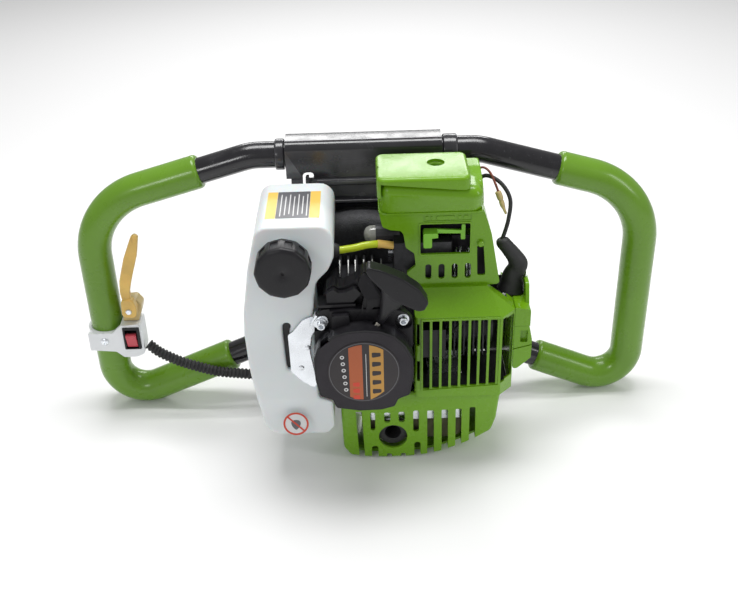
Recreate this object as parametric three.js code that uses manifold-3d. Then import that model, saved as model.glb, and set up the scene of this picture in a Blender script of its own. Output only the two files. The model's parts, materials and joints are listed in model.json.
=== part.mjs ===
// Powerhead of a two-stroke ice auger, as it lies on its handle loops. Millimetres, +Z up.
// +X runs along the engine's cylinder, the recoil starter faces -Y and the drive shaft leaves at +Y.
import * as THREE from 'three';
import { mergeVertices } from 'three/addons/utils/BufferGeometryUtils.js';
import Module from 'manifold-3d';

const wasm = await Module();
wasm.setup();

// ---- driving dimensions ----
const GROUND = 115.378; // height of the loops' plane origin above the surface
const FORWARD = 26.5; // how far the loops' plane lies behind the middle of the whole part
const SIDEWAYS = 1.45; // half of what the switch strap adds to the left
const GAP = 0.3; // clearance between pieces that touch

const TUBE_R = 12.7; // 1 inch handle tube
const TUBE_BORE = 10.7; // 2 mm wall
const GRIP_R = 16.5;
const GRIP_BORE = 13.2;
const LOOP_X = 272.5; // centreline of the upright grips
const TOP_Z = 164.5; // centreline of the top arms
const TOP_BEND_X = 108;
const TOP_SLOPE = 16;
const TOP_CORNER_R = 75;
const LOW_SLOPE = 23;
const LOW_CORNER_R = 31;
const LOW_X = 181; // the low arm passes through LOW_X, LOW_Z
const LOW_Z = -76;
const ARM_END_X = 82;

const CRANK = { x: -6, z: 20 }; // crank axis, along Y
const CYLINDER_Y = -70;
const CASE_FRONT = -86;
const STARTER_FRONT = -158;
const STARTER_BACK = -131;
const EAR_FRONT = -137; // where the starter's two screws seat
const SHROUD_R = 43;
const PULLEY_R = 28;
const DRUM_R = 96;
const HOUSING_FRONT = -42;
const PLATE_FRONT = -17.8;
const PLATE_BACK = -13.2;
const GEARBOX_R = 62;
const GEARBOX_BACK = 38;
const SHAFT_R = 10;
const SHAFT_END = 114;
const COUNTERSHAFT_X = 30; // from the crank axis to the countershaft
const PINION_TEETH = 8;
const PINION_HUB_R = 3.2; // inside the pinion's root circle
const WHEEL_TEETH = 44;
const GEAR_MODULE = (2 * COUNTERSHAFT_X) / (PINION_TEETH + WHEEL_TEETH);

const TANK_FRONT = -128;
const TANK_BACK = -30;
const TANK_TOP = 148;
const TANK_WALL = 2.5;
const CAP = { x: -73, z: 117.5, r: 24.5 };
const NECK_R = 17;

const BOX_FRONT = -95; // front wall of the air box
const BOX_BACK = -42;
const BOX_SEAM = 145;
const COWL_FRONT = -120;
const GUARD_FRONT = -114;
const WALL = 2.5;

const SWITCH = { x: -245, z: -27 };
const LEVER_PIVOT = { x: -243, z: 6 };

const EYELET = new THREE.Vector3(8, -146, 64); // where the starter rope leaves the housing
const ROPE_END = new THREE.Vector3(26.8, -159, 100.4); // where it enters the pull handle

// ---- materials ----
const surface = (color, roughness, metalness = 0) =>
  new THREE.MeshStandardMaterial({ color, roughness, metalness });
const green = () => surface(0x6eaf2d, 0.3);
const gripGreen = () => surface(0x5fa02d, 0.3);
const blackPaint = () => surface(0x252328, 0.35, 0.2);
const blackPlastic = () => surface(0x29272b, 0.5);
const blackCast = () => surface(0x2b292d, 0.75, 0.3);
const bareCast = () => surface(0x9a9a98, 0.5, 0.9);
const zinc = () => surface(0xd5dbe2, 0.3, 0.9);
const steel = () => surface(0xb0b2b5, 0.35, 1);
const rubber = () => surface(0x1e1d1f, 0.8);
const tankPlastic = () => surface(0xeaf0f0, 0.4);

// ---- solids ----
function toSolid(geometry) {
  const bare = geometry.index ? geometry.toNonIndexed() : geometry.clone();
  bare.deleteAttribute('normal');
  bare.deleteAttribute('uv');
  const merged = mergeVertices(bare, 1e-4);
  return new wasm.Manifold(new wasm.Mesh({
    numProp: 3,
    vertProperties: new Float32Array(merged.attributes.position.array),
    triVerts: new Uint32Array(merged.index.array),
  }));
}

function toGeometry(solid) {
  const mesh = solid.getMesh();
  const geometry = new THREE.BufferGeometry();
  geometry.setAttribute('position', new THREE.BufferAttribute(mesh.vertProperties, 3));
  geometry.setIndex(new THREE.BufferAttribute(mesh.triVerts, 1));
  return geometry;
}

function join(first, ...others) {
  return others.reduce((sum, other) => sum.add(toSolid(other)), toSolid(first));
}

function carve(solid, ...cuts) {
  return cuts.reduce((rest, cut) => rest.subtract(toSolid(cut)), solid);
}

// Box from its low corner to its high corner.
function block(low, high) {
  const size = low.map((value, i) => high[i] - value);
  const middle = low.map((value, i) => (high[i] + value) / 2);
  return new THREE.BoxGeometry(...size).translate(...middle);
}

// Round bar between two places, optionally tapered.
function bar(from, to, radius, sides = 20, endRadius = radius) {
  const start = new THREE.Vector3(...from);
  const run = new THREE.Vector3(...to).sub(start);
  const up = new THREE.Vector3(0, 1, 0);
  const turn = new THREE.Quaternion().setFromUnitVectors(up, run.clone().normalize());
  return new THREE.CylinderGeometry(endRadius, radius, run.length(), sides)
    .translate(0, run.length() / 2, 0)
    .applyQuaternion(turn)
    .translate(...from);
}

// Bar along Y about a point of the XZ plane.
const barY = (at, radius, front, back, sides = 24) =>
  bar([at.x, front, at.z], [at.x, back, at.z], radius, sides);

// Closed outline whose corners are rounded by the third number of a point, or by radius.
function outline(points, radius = 0) {
  const shape = new THREE.Shape();
  const corners = points.map(([x, y]) => new THREE.Vector2(x, y));
  corners.forEach((corner, i) => {
    const before = corners[(i + corners.length - 1) % corners.length];
    const after = corners[(i + 1) % corners.length];
    const room = Math.min(corner.distanceTo(before), corner.distanceTo(after)) * 0.48;
    const round = Math.min(points[i][2] ?? radius, room);
    const back = before.clone().sub(corner).setLength(round).add(corner);
    const ahead = after.clone().sub(corner).setLength(round).add(corner);
    if (i === 0) shape.moveTo(back.x, back.y);
    else shape.lineTo(back.x, back.y);
    if (round > 0) shape.quadraticCurveTo(corner.x, corner.y, ahead.x, ahead.y);
  });
  shape.closePath();
  return shape;
}

const rectangle = (x0, y0, x1, y1, radius = 0) =>
  outline([[x0, y0], [x1, y0], [x1, y1], [x0, y1]], radius);

function circle(x, y, radius) {
  const shape = new THREE.Shape();
  shape.absarc(x, y, radius, 0, 2 * Math.PI, false);
  return shape;
}

// Outline in XZ, from a front to a back Y.
function slab(shape, front, back, curveSegments = 3) {
  return new THREE.ExtrudeGeometry(shape, { depth: back - front, bevelEnabled: false, curveSegments })
    .rotateX(Math.PI / 2)
    .translate(0, back, 0);
}

// Outline in XY, from a low to a high Z.
function layer(shape, low, high, curveSegments = 3) {
  return new THREE.ExtrudeGeometry(shape, { depth: high - low, bevelEnabled: false, curveSegments })
    .translate(0, 0, low);
}

// Outline in YZ, from a left to a right X.
function profile(shape, left, right, curveSegments = 6) {
  const turn = new THREE.Matrix4().makeBasis(
    new THREE.Vector3(0, 1, 0), new THREE.Vector3(0, 0, 1), new THREE.Vector3(1, 0, 0));
  return new THREE.ExtrudeGeometry(shape, { depth: right - left, bevelEnabled: false, curveSegments })
    .applyMatrix4(turn)
    .translate(left, 0, 0);
}

// Turned piece about the Y axis through a point of the XZ plane; pairs of radius and Y.
function turned(at, pairs, sides = 32) {
  return new THREE.LatheGeometry(pairs.map(([r, y]) => new THREE.Vector2(r, y)), sides)
    .translate(at.x, 0, at.z);
}

// Route whose extrusion has one ring at each of its places.
class Route extends THREE.Curve {
  constructor(places) {
    super();
    this.places = places;
  }

  getPointAt(t, target = new THREE.Vector3()) {
    const along = t * (this.places.length - 1);
    const i = Math.min(Math.floor(along), this.places.length - 2);
    return target.lerpVectors(this.places[i], this.places[i + 1], along - i);
  }

  getPoint(t, target) {
    return this.getPointAt(t, target);
  }

  getTangentAt(t, target = new THREE.Vector3()) {
    const i = Math.round(t * (this.places.length - 1));
    const before = this.places[Math.max(i - 1, 0)];
    const after = this.places[Math.min(i + 1, this.places.length - 1)];
    const here = this.places[i];
    const arriving = here.clone().sub(before).normalize();
    const leaving = after.clone().sub(here).normalize();
    return target.addVectors(arriving, leaving).normalize();
  }
}

function tube(places, radius, sides, bore = 0) {
  const shape = circle(0, 0, radius);
  if (bore > 0) shape.holes.push(circle(0, 0, bore));
  return new THREE.ExtrudeGeometry(shape, {
    steps: places.length - 1,
    extrudePath: new Route(places),
    curveSegments: sides / 2,
  });
}

// Smooth cord through places given as [x, y, z].
function cord(through, radius, steps, sides = 8) {
  const curve = new THREE.CatmullRomCurve3(through.map((p) => new THREE.Vector3(...p)));
  return tube(curve.getSpacedPoints(steps), radius, sides);
}

// Wheel with straight-sided teeth about the Y axis.
function gear(at, teeth, front, back, turn = 0) {
  const pitchRadius = (teeth * GEAR_MODULE) / 2;
  const root = pitchRadius - 1.15 * GEAR_MODULE;
  const tip = pitchRadius + 0.8 * GEAR_MODULE;
  const step = (2 * Math.PI) / teeth;
  const corners = [];
  for (let i = 0; i < teeth; i++) {
    for (const [radius, share] of [[root, -0.22], [tip, -0.09], [tip, 0.09], [root, 0.22]]) {
      const angle = turn + (i + share) * step;
      corners.push([at.x + radius * Math.cos(angle), at.z + radius * Math.sin(angle)]);
    }
  }
  return slab(outline(corners), front, back);
}

// ---- the object ----
const group = new THREE.Group();
const powerhead = new THREE.Group();
powerhead.position.set(SIDEWAYS, FORWARD, GROUND);
group.add(powerhead);

function add(name, shape, material) {
  const geometry = shape instanceof wasm.Manifold ? toGeometry(shape) : shape;
  const mesh = new THREE.Mesh(geometry, material);
  mesh.name = name;
  powerhead.add(mesh);
}

// Centreline of one handle loop from the saddle round to the gearbox; side is 1 or -1.
function loopPlaces(side, from, to) {
  const topTan = Math.tan(THREE.MathUtils.degToRad(TOP_SLOPE));
  const lowTan = Math.tan(THREE.MathUtils.degToRad(LOW_SLOPE));
  const topCorner = [LOOP_X, TOP_Z - (LOOP_X - TOP_BEND_X) * topTan];
  const lowCorner = [LOOP_X, LOW_Z - (LOOP_X - LOW_X) * lowTan];
  const corners = [
    { at: [2, TOP_Z] },
    { at: [TOP_BEND_X, TOP_Z], r: 60, steps: 2 },
    { at: topCorner, r: TOP_CORNER_R, steps: 6 },
    { at: lowCorner, r: LOW_CORNER_R, steps: 6 },
    { at: [ARM_END_X, LOW_Z + (LOW_X - ARM_END_X) * lowTan] },
  ].map(({ at, r, steps }) => ({ at: new THREE.Vector2(...at), r, steps }));
  const places = [];
  corners.forEach(({ at, r, steps }, i) => {
    if (!r) {
      places.push(at);
      return;
    }
    const back = corners[i - 1].at.clone().sub(at).normalize();
    const ahead = corners[i + 1].at.clone().sub(at).normalize();
    const half = back.angleTo(ahead) / 2;
    const centre = back.clone().add(ahead).setLength(r / Math.sin(half)).add(at);
    const start = back.clone().multiplyScalar(r / Math.tan(half)).add(at).sub(centre);
    for (let k = 0; k <= steps; k++) {
      const angle = -(Math.PI - 2 * half) * (k / steps);
      places.push(start.clone().rotateAround(new THREE.Vector2(), angle).add(centre));
    }
  });
  const line = places.map((p) => new THREE.Vector3(side * p.x, 0, p.y));
  return from === undefined ? line : clip(line, side, from, to);
}

// Part of a loop between a top and a low distance from the middle.
function clip(line, side, top, low) {
  const cut = (distance, a, b) => a.clone().lerp(b, (distance - side * a.x) / (side * (b.x - a.x)));
  const start = line.findIndex((p) => side * p.x > top);
  const end = line.findLastIndex((p) => side * p.x > low);
  return [
    cut(top, line[start - 1], line[start]),
    ...line.slice(start, end + 1),
    cut(low, line[end], line[end + 1]),
  ];
}

function addLoop(name, side, gripTop, gripLow) {
  add(`handle_loop_${name}`, tube(loopPlaces(side), TUBE_R, 16, TUBE_BORE), blackPaint());
  add(`grip_${name}`, tube(loopPlaces(side, gripTop, gripLow), GRIP_R, 16, GRIP_BORE), gripGreen());
}

function addSaddle() {
  const inner = TUBE_R + GAP + 0.1;
  const outer = inner + 3.2;
  const lip = 146;
  const shape = new THREE.Shape();
  shape.moveTo(-outer, lip);
  shape.lineTo(-outer, TOP_Z);
  shape.absarc(0, TOP_Z, outer, Math.PI, 0, true);
  shape.lineTo(outer, lip + 8);
  shape.lineTo(inner, lip + 8);
  shape.lineTo(inner, TOP_Z);
  shape.absarc(0, TOP_Z, inner, 0, Math.PI, false);
  shape.lineTo(-inner, lip);
  shape.closePath();
  add('saddle_plate', profile(shape, -74.5, 72.6), blackPaint());
}

function addMountingPlate() {
  const half = [[70, 145.6], [70, 60, 12], [80, -20, 8], [112, -26, 8], [108, -62, 8], [60, -72, 12]];
  const points = [...half, ...half.map(([x, z, r]) => [-x, z, r]).reverse()];
  const plate = join(
    slab(outline(points), PLATE_FRONT, PLATE_BACK),
    block([-62, PLATE_FRONT - 2.4, 123.5], [66, PLATE_FRONT, 128]),
  );
  const hole = barY(CRANK, 24, PLATE_FRONT - 1, PLATE_BACK + 1);
  add('mounting_plate', carve(plate, hole), blackPaint());
}

function addClutch() {
  const back = PLATE_FRONT - GAP;
  add('clutch_housing', turned(CRANK, [
    [14, HOUSING_FRONT], [60, HOUSING_FRONT], [DRUM_R - 9, HOUSING_FRONT + 1.5],
    [DRUM_R - 3, HOUSING_FRONT + 7], [DRUM_R, back], [DRUM_R - 5, back],
    [DRUM_R - 8, HOUSING_FRONT + 9], [55, HOUSING_FRONT + 4], [14, HOUSING_FRONT + 4], [14, HOUSING_FRONT],
  ], 30), blackCast());
  const drum = turned(CRANK, [
    [0, -24], [36, -24], [36, -36], [39, -36], [39, -21], [6, -21], [6, -9],
    [PINION_HUB_R, -9], [PINION_HUB_R, 6], [0, 6],
  ], 24);
  add('clutch_drum', toSolid(drum).add(toSolid(gear(CRANK, PINION_TEETH, -5, 5))), steel());
}

function addCrankTrain() {
  const shaft = join(
    barY(CRANK, 7.5, -122, -40),
    barY(CRANK, 26, CYLINDER_Y - 12, CYLINDER_Y - 4),
    barY(CRANK, 26, CYLINDER_Y + 4, CYLINDER_Y + 12),
    barY({ x: CRANK.x + 17, z: CRANK.z }, 7, CYLINDER_Y - 5, CYLINDER_Y + 5, 16),
    barY(CRANK, 31, -36, -28),
    barY(CRANK, 10, -41, -35),
  );
  add('crankshaft', shaft, steel());

  const blades = [];
  const count = 14;
  for (let i = 0; i < count; i++) {
    const angle = (2 * Math.PI * i) / count;
    blades.push(block([15, -110, -1.2], [37, -98, 1.2])
      .rotateY(angle)
      .translate(CRANK.x, 0, CRANK.z));
  }
  const disc = turned(CRANK, [[8, -99], [38, -99], [38, -89], [8, -89], [8, -99]], 28);
  add('flywheel_fan', join(disc, ...blades), bareCast());
}

function addCrankcase() {
  const ribs = [];
  for (let x = -27; x <= 4; x += 7.5) {
    ribs.push(block([x, CASE_FRONT + 2, 60], [x + 2, HOUSING_FRONT - GAP, 76]));
  }
  const shape = outline([[-44, -22], [37.2, -30], [37.2, 66], [-30, 66], [-44, 50]], 8);
  const body = join(slab(shape, CASE_FRONT, HOUSING_FRONT - GAP), ...ribs);
  const room = barY(CRANK, 29, CYLINDER_Y - 13, CYLINDER_Y + 13);
  const bore = barY(CRANK, 11, CASE_FRONT - 1, HOUSING_FRONT + 1, 20);
  const throat = bar([CRANK.x, CYLINDER_Y, CRANK.z], [40, CYLINDER_Y, CRANK.z], 22.5, 24);
  add('crankcase', carve(body, room, bore, throat), blackCast());

  const back = CASE_FRONT - GAP;
  const ring = turned(CRANK, [
    [SHROUD_R - 3, -111.7], [SHROUD_R, -111.7], [SHROUD_R, back], [SHROUD_R - 3, back],
    [SHROUD_R - 3, -111.7],
  ], 28);
  const deck = block([-30, -110, 60.5], [10, back, 66]);
  add('fan_shroud', join(ring, deck), blackCast());
}

function addCylinder() {
  const bodyStart = 37.2 + GAP;
  const axis = { y: CYLINDER_Y, z: CRANK.z };
  const fins = [];
  for (let x = 47; x <= 112; x += 9) {
    fins.push(block([x, axis.y - 28, axis.z - 28], [x + 2.4, axis.y + 26, axis.z + 28]));
  }
  const core = bar([bodyStart, axis.y, axis.z], [116, axis.y, axis.z], 25, 20);
  const bore = bar([20, axis.y, axis.z], [108, axis.y, axis.z], 22, 24);

  const crown = bar([72, axis.y, axis.z], [104, axis.y, axis.z], 21.8, 24);
  const hollow = bar([60, axis.y, axis.z], [98, axis.y, axis.z], 18, 20);
  add('piston', carve(toSolid(crown), hollow), bareCast());

  const seat = new THREE.Vector3(117.5, -70, 27);
  const lean = new THREE.Vector3(0.5, 0, 0.866);
  const along = (distance) => seat.clone().addScaledVector(lean, distance).toArray();
  add('cylinder', carve(
    join(core, ...fins),
    bore,
    bar(along(-0.5), along(30), 11, 16),
    bar(along(-14), along(1), 6.8, 12),
  ), bareCast());
  add('spark_plug', join(
    bar(along(-12), along(1), 6.2, 12),
    bar(along(0), along(9), 10, 6),
    bar(along(8), along(30), 5.5, 12),
  ), steel());
  return along;
}

function addIgnition(along) {
  const boot = join(
    bar(along(31), along(36), 11, 16, 9),
    bar(along(35), [140, -69, 78], 8, 16),
    bar([141, -69, 74], [124, -67, 97], 6.5, 14, 5.5),
    new THREE.SphereGeometry(8.5, 14, 10).translate(139.5, -69, 78),
  );
  add('plug_boot', boot, rubber());
  add('ignition_coil', join(
    block([45, -114, 4], [70, -99, 34]),
    bar([69, -106, 22], [76, -106, 26], 5, 12),
  ), blackPlastic());
  add('ignition_lead', cord([
    [77, -106, 26.5], [90, -107, 42], [101, -101, 51.5], [108, -90, 52.5], [111, -68, 56], [111, -36, 72],
    [106, -34, 100], [103, -34, 138], [110, -38, 153], [123, -48, 151], [132, -57, 138],
    [130, -63, 119], [123.7, -67, 99.3],
  ], 1.8, 30), rubber());
  add('kill_wire', cord([
    [98, -36, 152], [107, -37, 161], [118, -48, 156], [125, -58, 144], [132, -64, 132],
  ], 1.3, 10), surface(0x7a3020, 0.6));
}

function addStarter() {
  const earLeft = { x: -43, z: 60 };
  const earRight = { x: 30, z: 62 };
  const centre = { x: -6.4, z: 20.4 };
  const shield = [
    [-33, 58.8, 12], [-20, 63.1, 6], [-4.8, 64.2, 6], [9, 62.6, 6], [21, 57.5, 6], [31, 47, 6],
    [37.6, 33, 8], [38, 15, 8], [34.4, -6, 4], [24, -10.5, 3], [20.5, -18.5, 3], [8.6, -22, 8],
    [-11.2, -22.5, 8], [-32.5, -18.5, 4], [-35.4, -9.6, 3], [-46.6, -4.6, 4], [-50, 13, 8],
    [-50.3, 36.5, 8], [-46, 48, 6],
  ];
  const wallShare = 0.91; // the bowl's inside, as a share of its outside
  const inside = shield.map(([x, z, round]) =>
    [centre.x + (x - centre.x) * wallShare, centre.z + (z - centre.z) * wallShare, round]);
  const shoulder = slab(outline([
    [-49, 30], [-49.5, 66], [-42, 73.5], [-16, 75.5], [20, 74.5], [31, 71], [38, 62], [38, 30],
  ], 5), EAR_FRONT - 4, STARTER_BACK);
  const wells = [earLeft, earRight].map((ear) => slab(rectangle(
    ear.x - 7.5, ear.z - 8, ear.x + 7.5, ear.z + 8, 5), STARTER_FRONT, EAR_FRONT));
  const mouth = bar([EYELET.x - 5, -143.5, EYELET.z - 12], [EYELET.x + 3, -147, EYELET.z + 8], 4, 12);
  add('starter_cover', carve(
    join(slab(outline(shield), STARTER_FRONT, STARTER_BACK), shoulder),
    slab(outline(inside), STARTER_FRONT + 4, STARTER_BACK + 1),
    ...wells,
    mouth,
  ), blackPlastic());
  add('starter_badge', turned(centre, [
    [0, STARTER_FRONT - 1.2], [32, STARTER_FRONT - 1.2], [32, STARTER_FRONT - GAP], [0, STARTER_FRONT - GAP],
  ], 32), surface(0xcd6e3c, 0.4));

  const guide = outline([
    [-45, -16], [-44, 58], [-36, 80], [-31, 95], [-20, 98], [-10, 104], [-4, 108], [6, 100],
    [14, 86], [36, 66], [38, -14], [20, -26], [-30, -26],
  ], 3);
  const plate = toSolid(slab(guide, -128.4, -112));
  const hub = barY(CRANK, 38, -130, -110, 28);
  add('starter_housing', carve(plate, hub), blackPlastic());

  add('recoil_pulley', turned(CRANK, [
    [6, -150], [PULLEY_R + 6, -150], [PULLEY_R + 6, -148.5], [PULLEY_R - 1, -147.5],
    [PULLEY_R - 1, -144.5], [PULLEY_R + 6, -143.5], [PULLEY_R + 6, -142], [6, -142], [6, -150],
  ], 28), surface(0xd8d8d0, 0.5));

  const band = new THREE.Shape();
  const turns = 3;
  const steps = 48;
  const spiral = (i, extra) => {
    const angle = (2 * Math.PI * turns * i) / steps;
    const radius = 12 + (16 * i) / steps + extra;
    return [centre.x + radius * Math.cos(angle), centre.z + radius * Math.sin(angle)];
  };
  band.moveTo(...spiral(0, 0));
  for (let i = 1; i <= steps; i++) band.lineTo(...spiral(i, 0));
  for (let i = steps; i >= 0; i--) band.lineTo(...spiral(i, 0.8));
  band.closePath();
  add('recoil_spring', slab(band, -153.5, -150.5), steel());

  const pull = ROPE_END.clone().sub(EYELET).normalize();
  const start = EYELET.clone().addScaledVector(pull, -6);
  const end = ROPE_END.clone().addScaledVector(pull, -1.6);
  add('starter_rope', bar(start.toArray(), end.toArray(), 2, 10), surface(0xe8e4d8, 0.8));

  const wing = outline([
    [-2, 127], [3, 131.5], [12, 129, 6], [30, 119.5, 8], [43.5, 108, 8], [51, 95], [48, 88],
    [41, 87.4], [29, 93.6, 6], [19.5, 99.6, 6], [10.5, 110, 6], [1.5, 120.5, 6],
  ], 3);
  const stemStart = EYELET.clone().addScaledVector(pull, 8);
  const stem = bar(stemStart.toArray(), ROPE_END.toArray(), 3.8, 16, 7);
  const ropeHole = bar(EYELET.toArray(), ROPE_END.toArray(), 2.5, 12);
  add('starter_handle', carve(join(slab(wing, -167, -152), stem), ropeHole), blackPlastic());

  for (const [name, ear] of [['left', earLeft], ['right', earRight]]) {
    const front = EAR_FRONT - GAP;
    const screw = join(barY(ear, 5.6, front - 1.4, front, 18), barY(ear, 4.2, front - 6.2, front - 1, 18));
    const socket = barY(ear, 2.2, front - 8, front - 3, 6);
    add(`starter_screw_${name}`, carve(screw, socket), zinc());
  }
}

function addTank() {
  const side = [
    [-96, 148, 12], [-29, 148, 14], [-29.5, 118, 6], [-35, 106, 8], [-46.5, 94, 8], [-50, 64],
    [-50, -29, 5], [-37, -34, 4], [-36.5, -68, 4], [-43, -78, 6], [-94, -77, 8], [-103, -66, 6],
    [-112, 2], [-114, 42, 6], [-112.5, 66], [-106, 108],
  ];
  const inside = [
    [-93, 145.5, 10], [-31.5, 145.5, 11], [-32, 119, 4], [-38, 108, 6], [-49, 96, 6], [-52.5, 64],
    [-52.5, -31, 4], [-39.5, -36.5, 3], [-39, -68, 3], [-44, -75.5, 4], [-93, -74.5, 6],
    [-100.5, -64, 4], [-109.5, 2], [-111.5, 42, 5], [-110, 66], [-103.5, 107],
  ];
  const outer = toSolid(slab(outline(side), TANK_FRONT, TANK_BACK));
  const recess = barY(CRANK, DRUM_R + 3, -46, TANK_BACK + 1, 40);
  const innerRecess = barY(CRANK, DRUM_R + 3 + TANK_WALL, -46 - TANK_WALL, TANK_BACK + 1, 40);
  const room = carve(
    toSolid(slab(outline(inside), TANK_FRONT + TANK_WALL, TANK_BACK - TANK_WALL)), innerRecess);
  const shell = carve(outer, recess).subtract(room);
  const neck = join(barY(CAP, NECK_R + 3, TANK_FRONT - 9, TANK_FRONT + 2, 24));
  const filler = barY(CAP, NECK_R, TANK_FRONT - 12, TANK_FRONT + 6, 24);
  add('fuel_tank', carve(shell.add(neck), filler), tankPlastic());

  const scallops = [];
  for (let i = 0; i < 12; i++) {
    const angle = (2 * Math.PI * (i + 0.5)) / 12;
    const at = { x: CAP.x + (CAP.r + 1.2) * Math.cos(angle), z: CAP.z + (CAP.r + 1.2) * Math.sin(angle) };
    scallops.push(barY(at, 3, -156, TANK_FRONT, 8));
  }
  const cap = turned(CAP, [
    [0, -150], [20, -150], [CAP.r, -147.5], [CAP.r, -129.5], [21.5, -129.5], [21.5, -145],
    [0, -145],
  ], 36);
  add('fuel_cap', carve(toSolid(cap), ...scallops), blackPlastic());
  add('cap_seal', turned(CAP, [
    [13, -140], [19.6, -140], [19.6, -137.4], [13, -137.4], [13, -140],
  ], 24), rubber());

  const grommetX = -29.2 + GAP;
  const hoseZ = 111.5;
  add('tank_grommet', bar([grommetX, -97, hoseZ], [grommetX + 4, -97, hoseZ], 6, 14), rubber());
  add('fuel_hose', cord([
    [grommetX + 5.4, -96.5, hoseZ], [-12, -92, 110.5], [0, -89, 111.5], [12, -87, 111], [22.8, -85, 108],
  ], 3.4, 10, 10), surface(0xbed732, 0.35));

  const wing = outline([
    [-45.4, 65], [-36.5, 65], [-36.5, 54], [-45.9, 52.5, 6], [-53, 43, 8], [-55.5, 26, 8],
    [-52.5, 5, 8], [-50.3, -17, 3], [-63, -8, 6], [-75.8, 4], [-76.4, 44, 3], [-70, 48],
    [-60, 59.5, 6],
  ], 4);
  add('tank_bracket', slab(wing, STARTER_BACK + GAP, TANK_FRONT - 0.7), zinc());
}

function addIntake() {
  add('intake_block', carve(
    toSolid(block([52, -88, 48.5], [76, -54, 71.6])),
    bar([64, CYLINDER_Y, 40], [64, CYLINDER_Y, 80], 9, 16),
  ), blackPlastic());
  const body = join(
    block([24, -89, 72], [76, -51, 112]),
    bar([8, -62, 108], [30, -62, 108], 11, 20),
  );
  add('carburettor', carve(
    body,
    bar([64, CYLINDER_Y, 60], [64, CYLINDER_Y, 120], 9, 16),
    bar([0, -62, 108], [18, -62, 108], 9, 20),
  ), bareCast());
  const dome = new THREE.LatheGeometry([
    [0, 16], [8.4, 16], [8.4, 6], [7.5, 3], [4.5, 0.6], [0, 0],
  ].reverse().map(([r, y]) => new THREE.Vector2(r, y)), 16)
    .rotateZ(-Math.PI / 2)
    .translate(-3, -62, 108);
  add('primer_bulb', dome, surface(0xc8c8be, 0.2));
  const armLength = 8.4; // each way, from the throttle spindle
  add('throttle_arm', join(
    bar([19.5, -52, 84], [23.6, -52, 84], 5, 14),
    block([20, -54.5, 84 - armLength], [22.4, -49.5, 84 + armLength]),
  ), zinc());
}

function addAirBox() {
  const outer = [
    [48, 68, 3], [33.4, 83, 4], [42.7, 106, 5], [33.7, 112.4], [32, 127.6, 3], [16.6, 129, 5], [11, BOX_SEAM],
    [103.5, BOX_SEAM], [118.7, 71],
  ];
  const inner = [
    [50, 58], [37, 84], [46, 107], [36.5, 114], [35, 130.5], [19, 132], [14.5, BOX_SEAM - WALL],
    [101, BOX_SEAM - WALL], [115.5, 72], [118, 58],
  ];
  const slots = [];
  for (let i = 0; i < 4; i++) {
    const x = 51.5 + 12.1 * i;
    slots.push(slab(rectangle(x, 78, x + 5.5, 92, 2), BOX_FRONT - 2, BOX_FRONT + 4));
  }
  add('airbox_base', carve(
    toSolid(slab(outline(outer), BOX_FRONT, BOX_BACK)),
    slab(outline(inner), BOX_FRONT + WALL, BOX_BACK - WALL),
    block([20, -91, 60], [50, BOX_BACK - WALL, 122]),
    block([47.4, BOX_FRONT - 2, 103], [92.1, BOX_FRONT + 4, 133.3]),
    bar([64, CYLINDER_Y, 130], [64, CYLINDER_Y, 150], 9, 16),
    block([104, -95 + 12, 81], [125, -95 + 18, 111]),
    ...slots,
  ), green());

  const seam = BOX_SEAM + GAP;
  const lid = profile(outline([
    [-98, seam], [-98, 160], [-90, 168, 6], [-70, 172], [-40, 172, 8], [-40, seam],
  ], 4), 12, 103.5);
  const tower = profile(outline([
    [-86, 150], [-80, 176], [-40, 176], [-40, 150],
  ], 3), 93, 104.5);
  const room = block([15, -95, 140], [100.5, -43, 164]);
  add('airbox_cover', carve(join(lid, tower), room), green());
  add('air_filter', carve(
    toSolid(block([20, -88, seam + 2], [96, -50, 161])),
    block([40, -80, seam], [80, -58, 155]),
  ), surface(0x3a3a3a, 0.95));
  add('airbox_top', carve(
    toSolid(layer(outline([
      [9.6, -103], [91, -103, 6], [91, -46, 6], [9.6, -46], [9.6, -70], [13, -76], [9.6, -82],
    ], 2), 176.5, 179)).add(toSolid(profile(outline([
      [-103, 179], [-106, 172], [-104, 165], [-101.5, 165], [-103, 172], [-101, 177],
    ]), 9.6, 91))),
    bar([62.6, -70, 170], [62.6, -70, 190], 7.8, 24),
  ).add(toSolid(block([40, -66, 172.3], [56, -50, 177]))), green());

  const lever = join(
    block([50, -102, 112], [64, -90.5, 124]),
    block([60, -92.2, 117], [86, -89.4, 122]),
    block([80, -90, 113], [86, -85, 128]),
  );
  add('choke_lever', lever, surface(0x78be28, 0.35));
}

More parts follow.
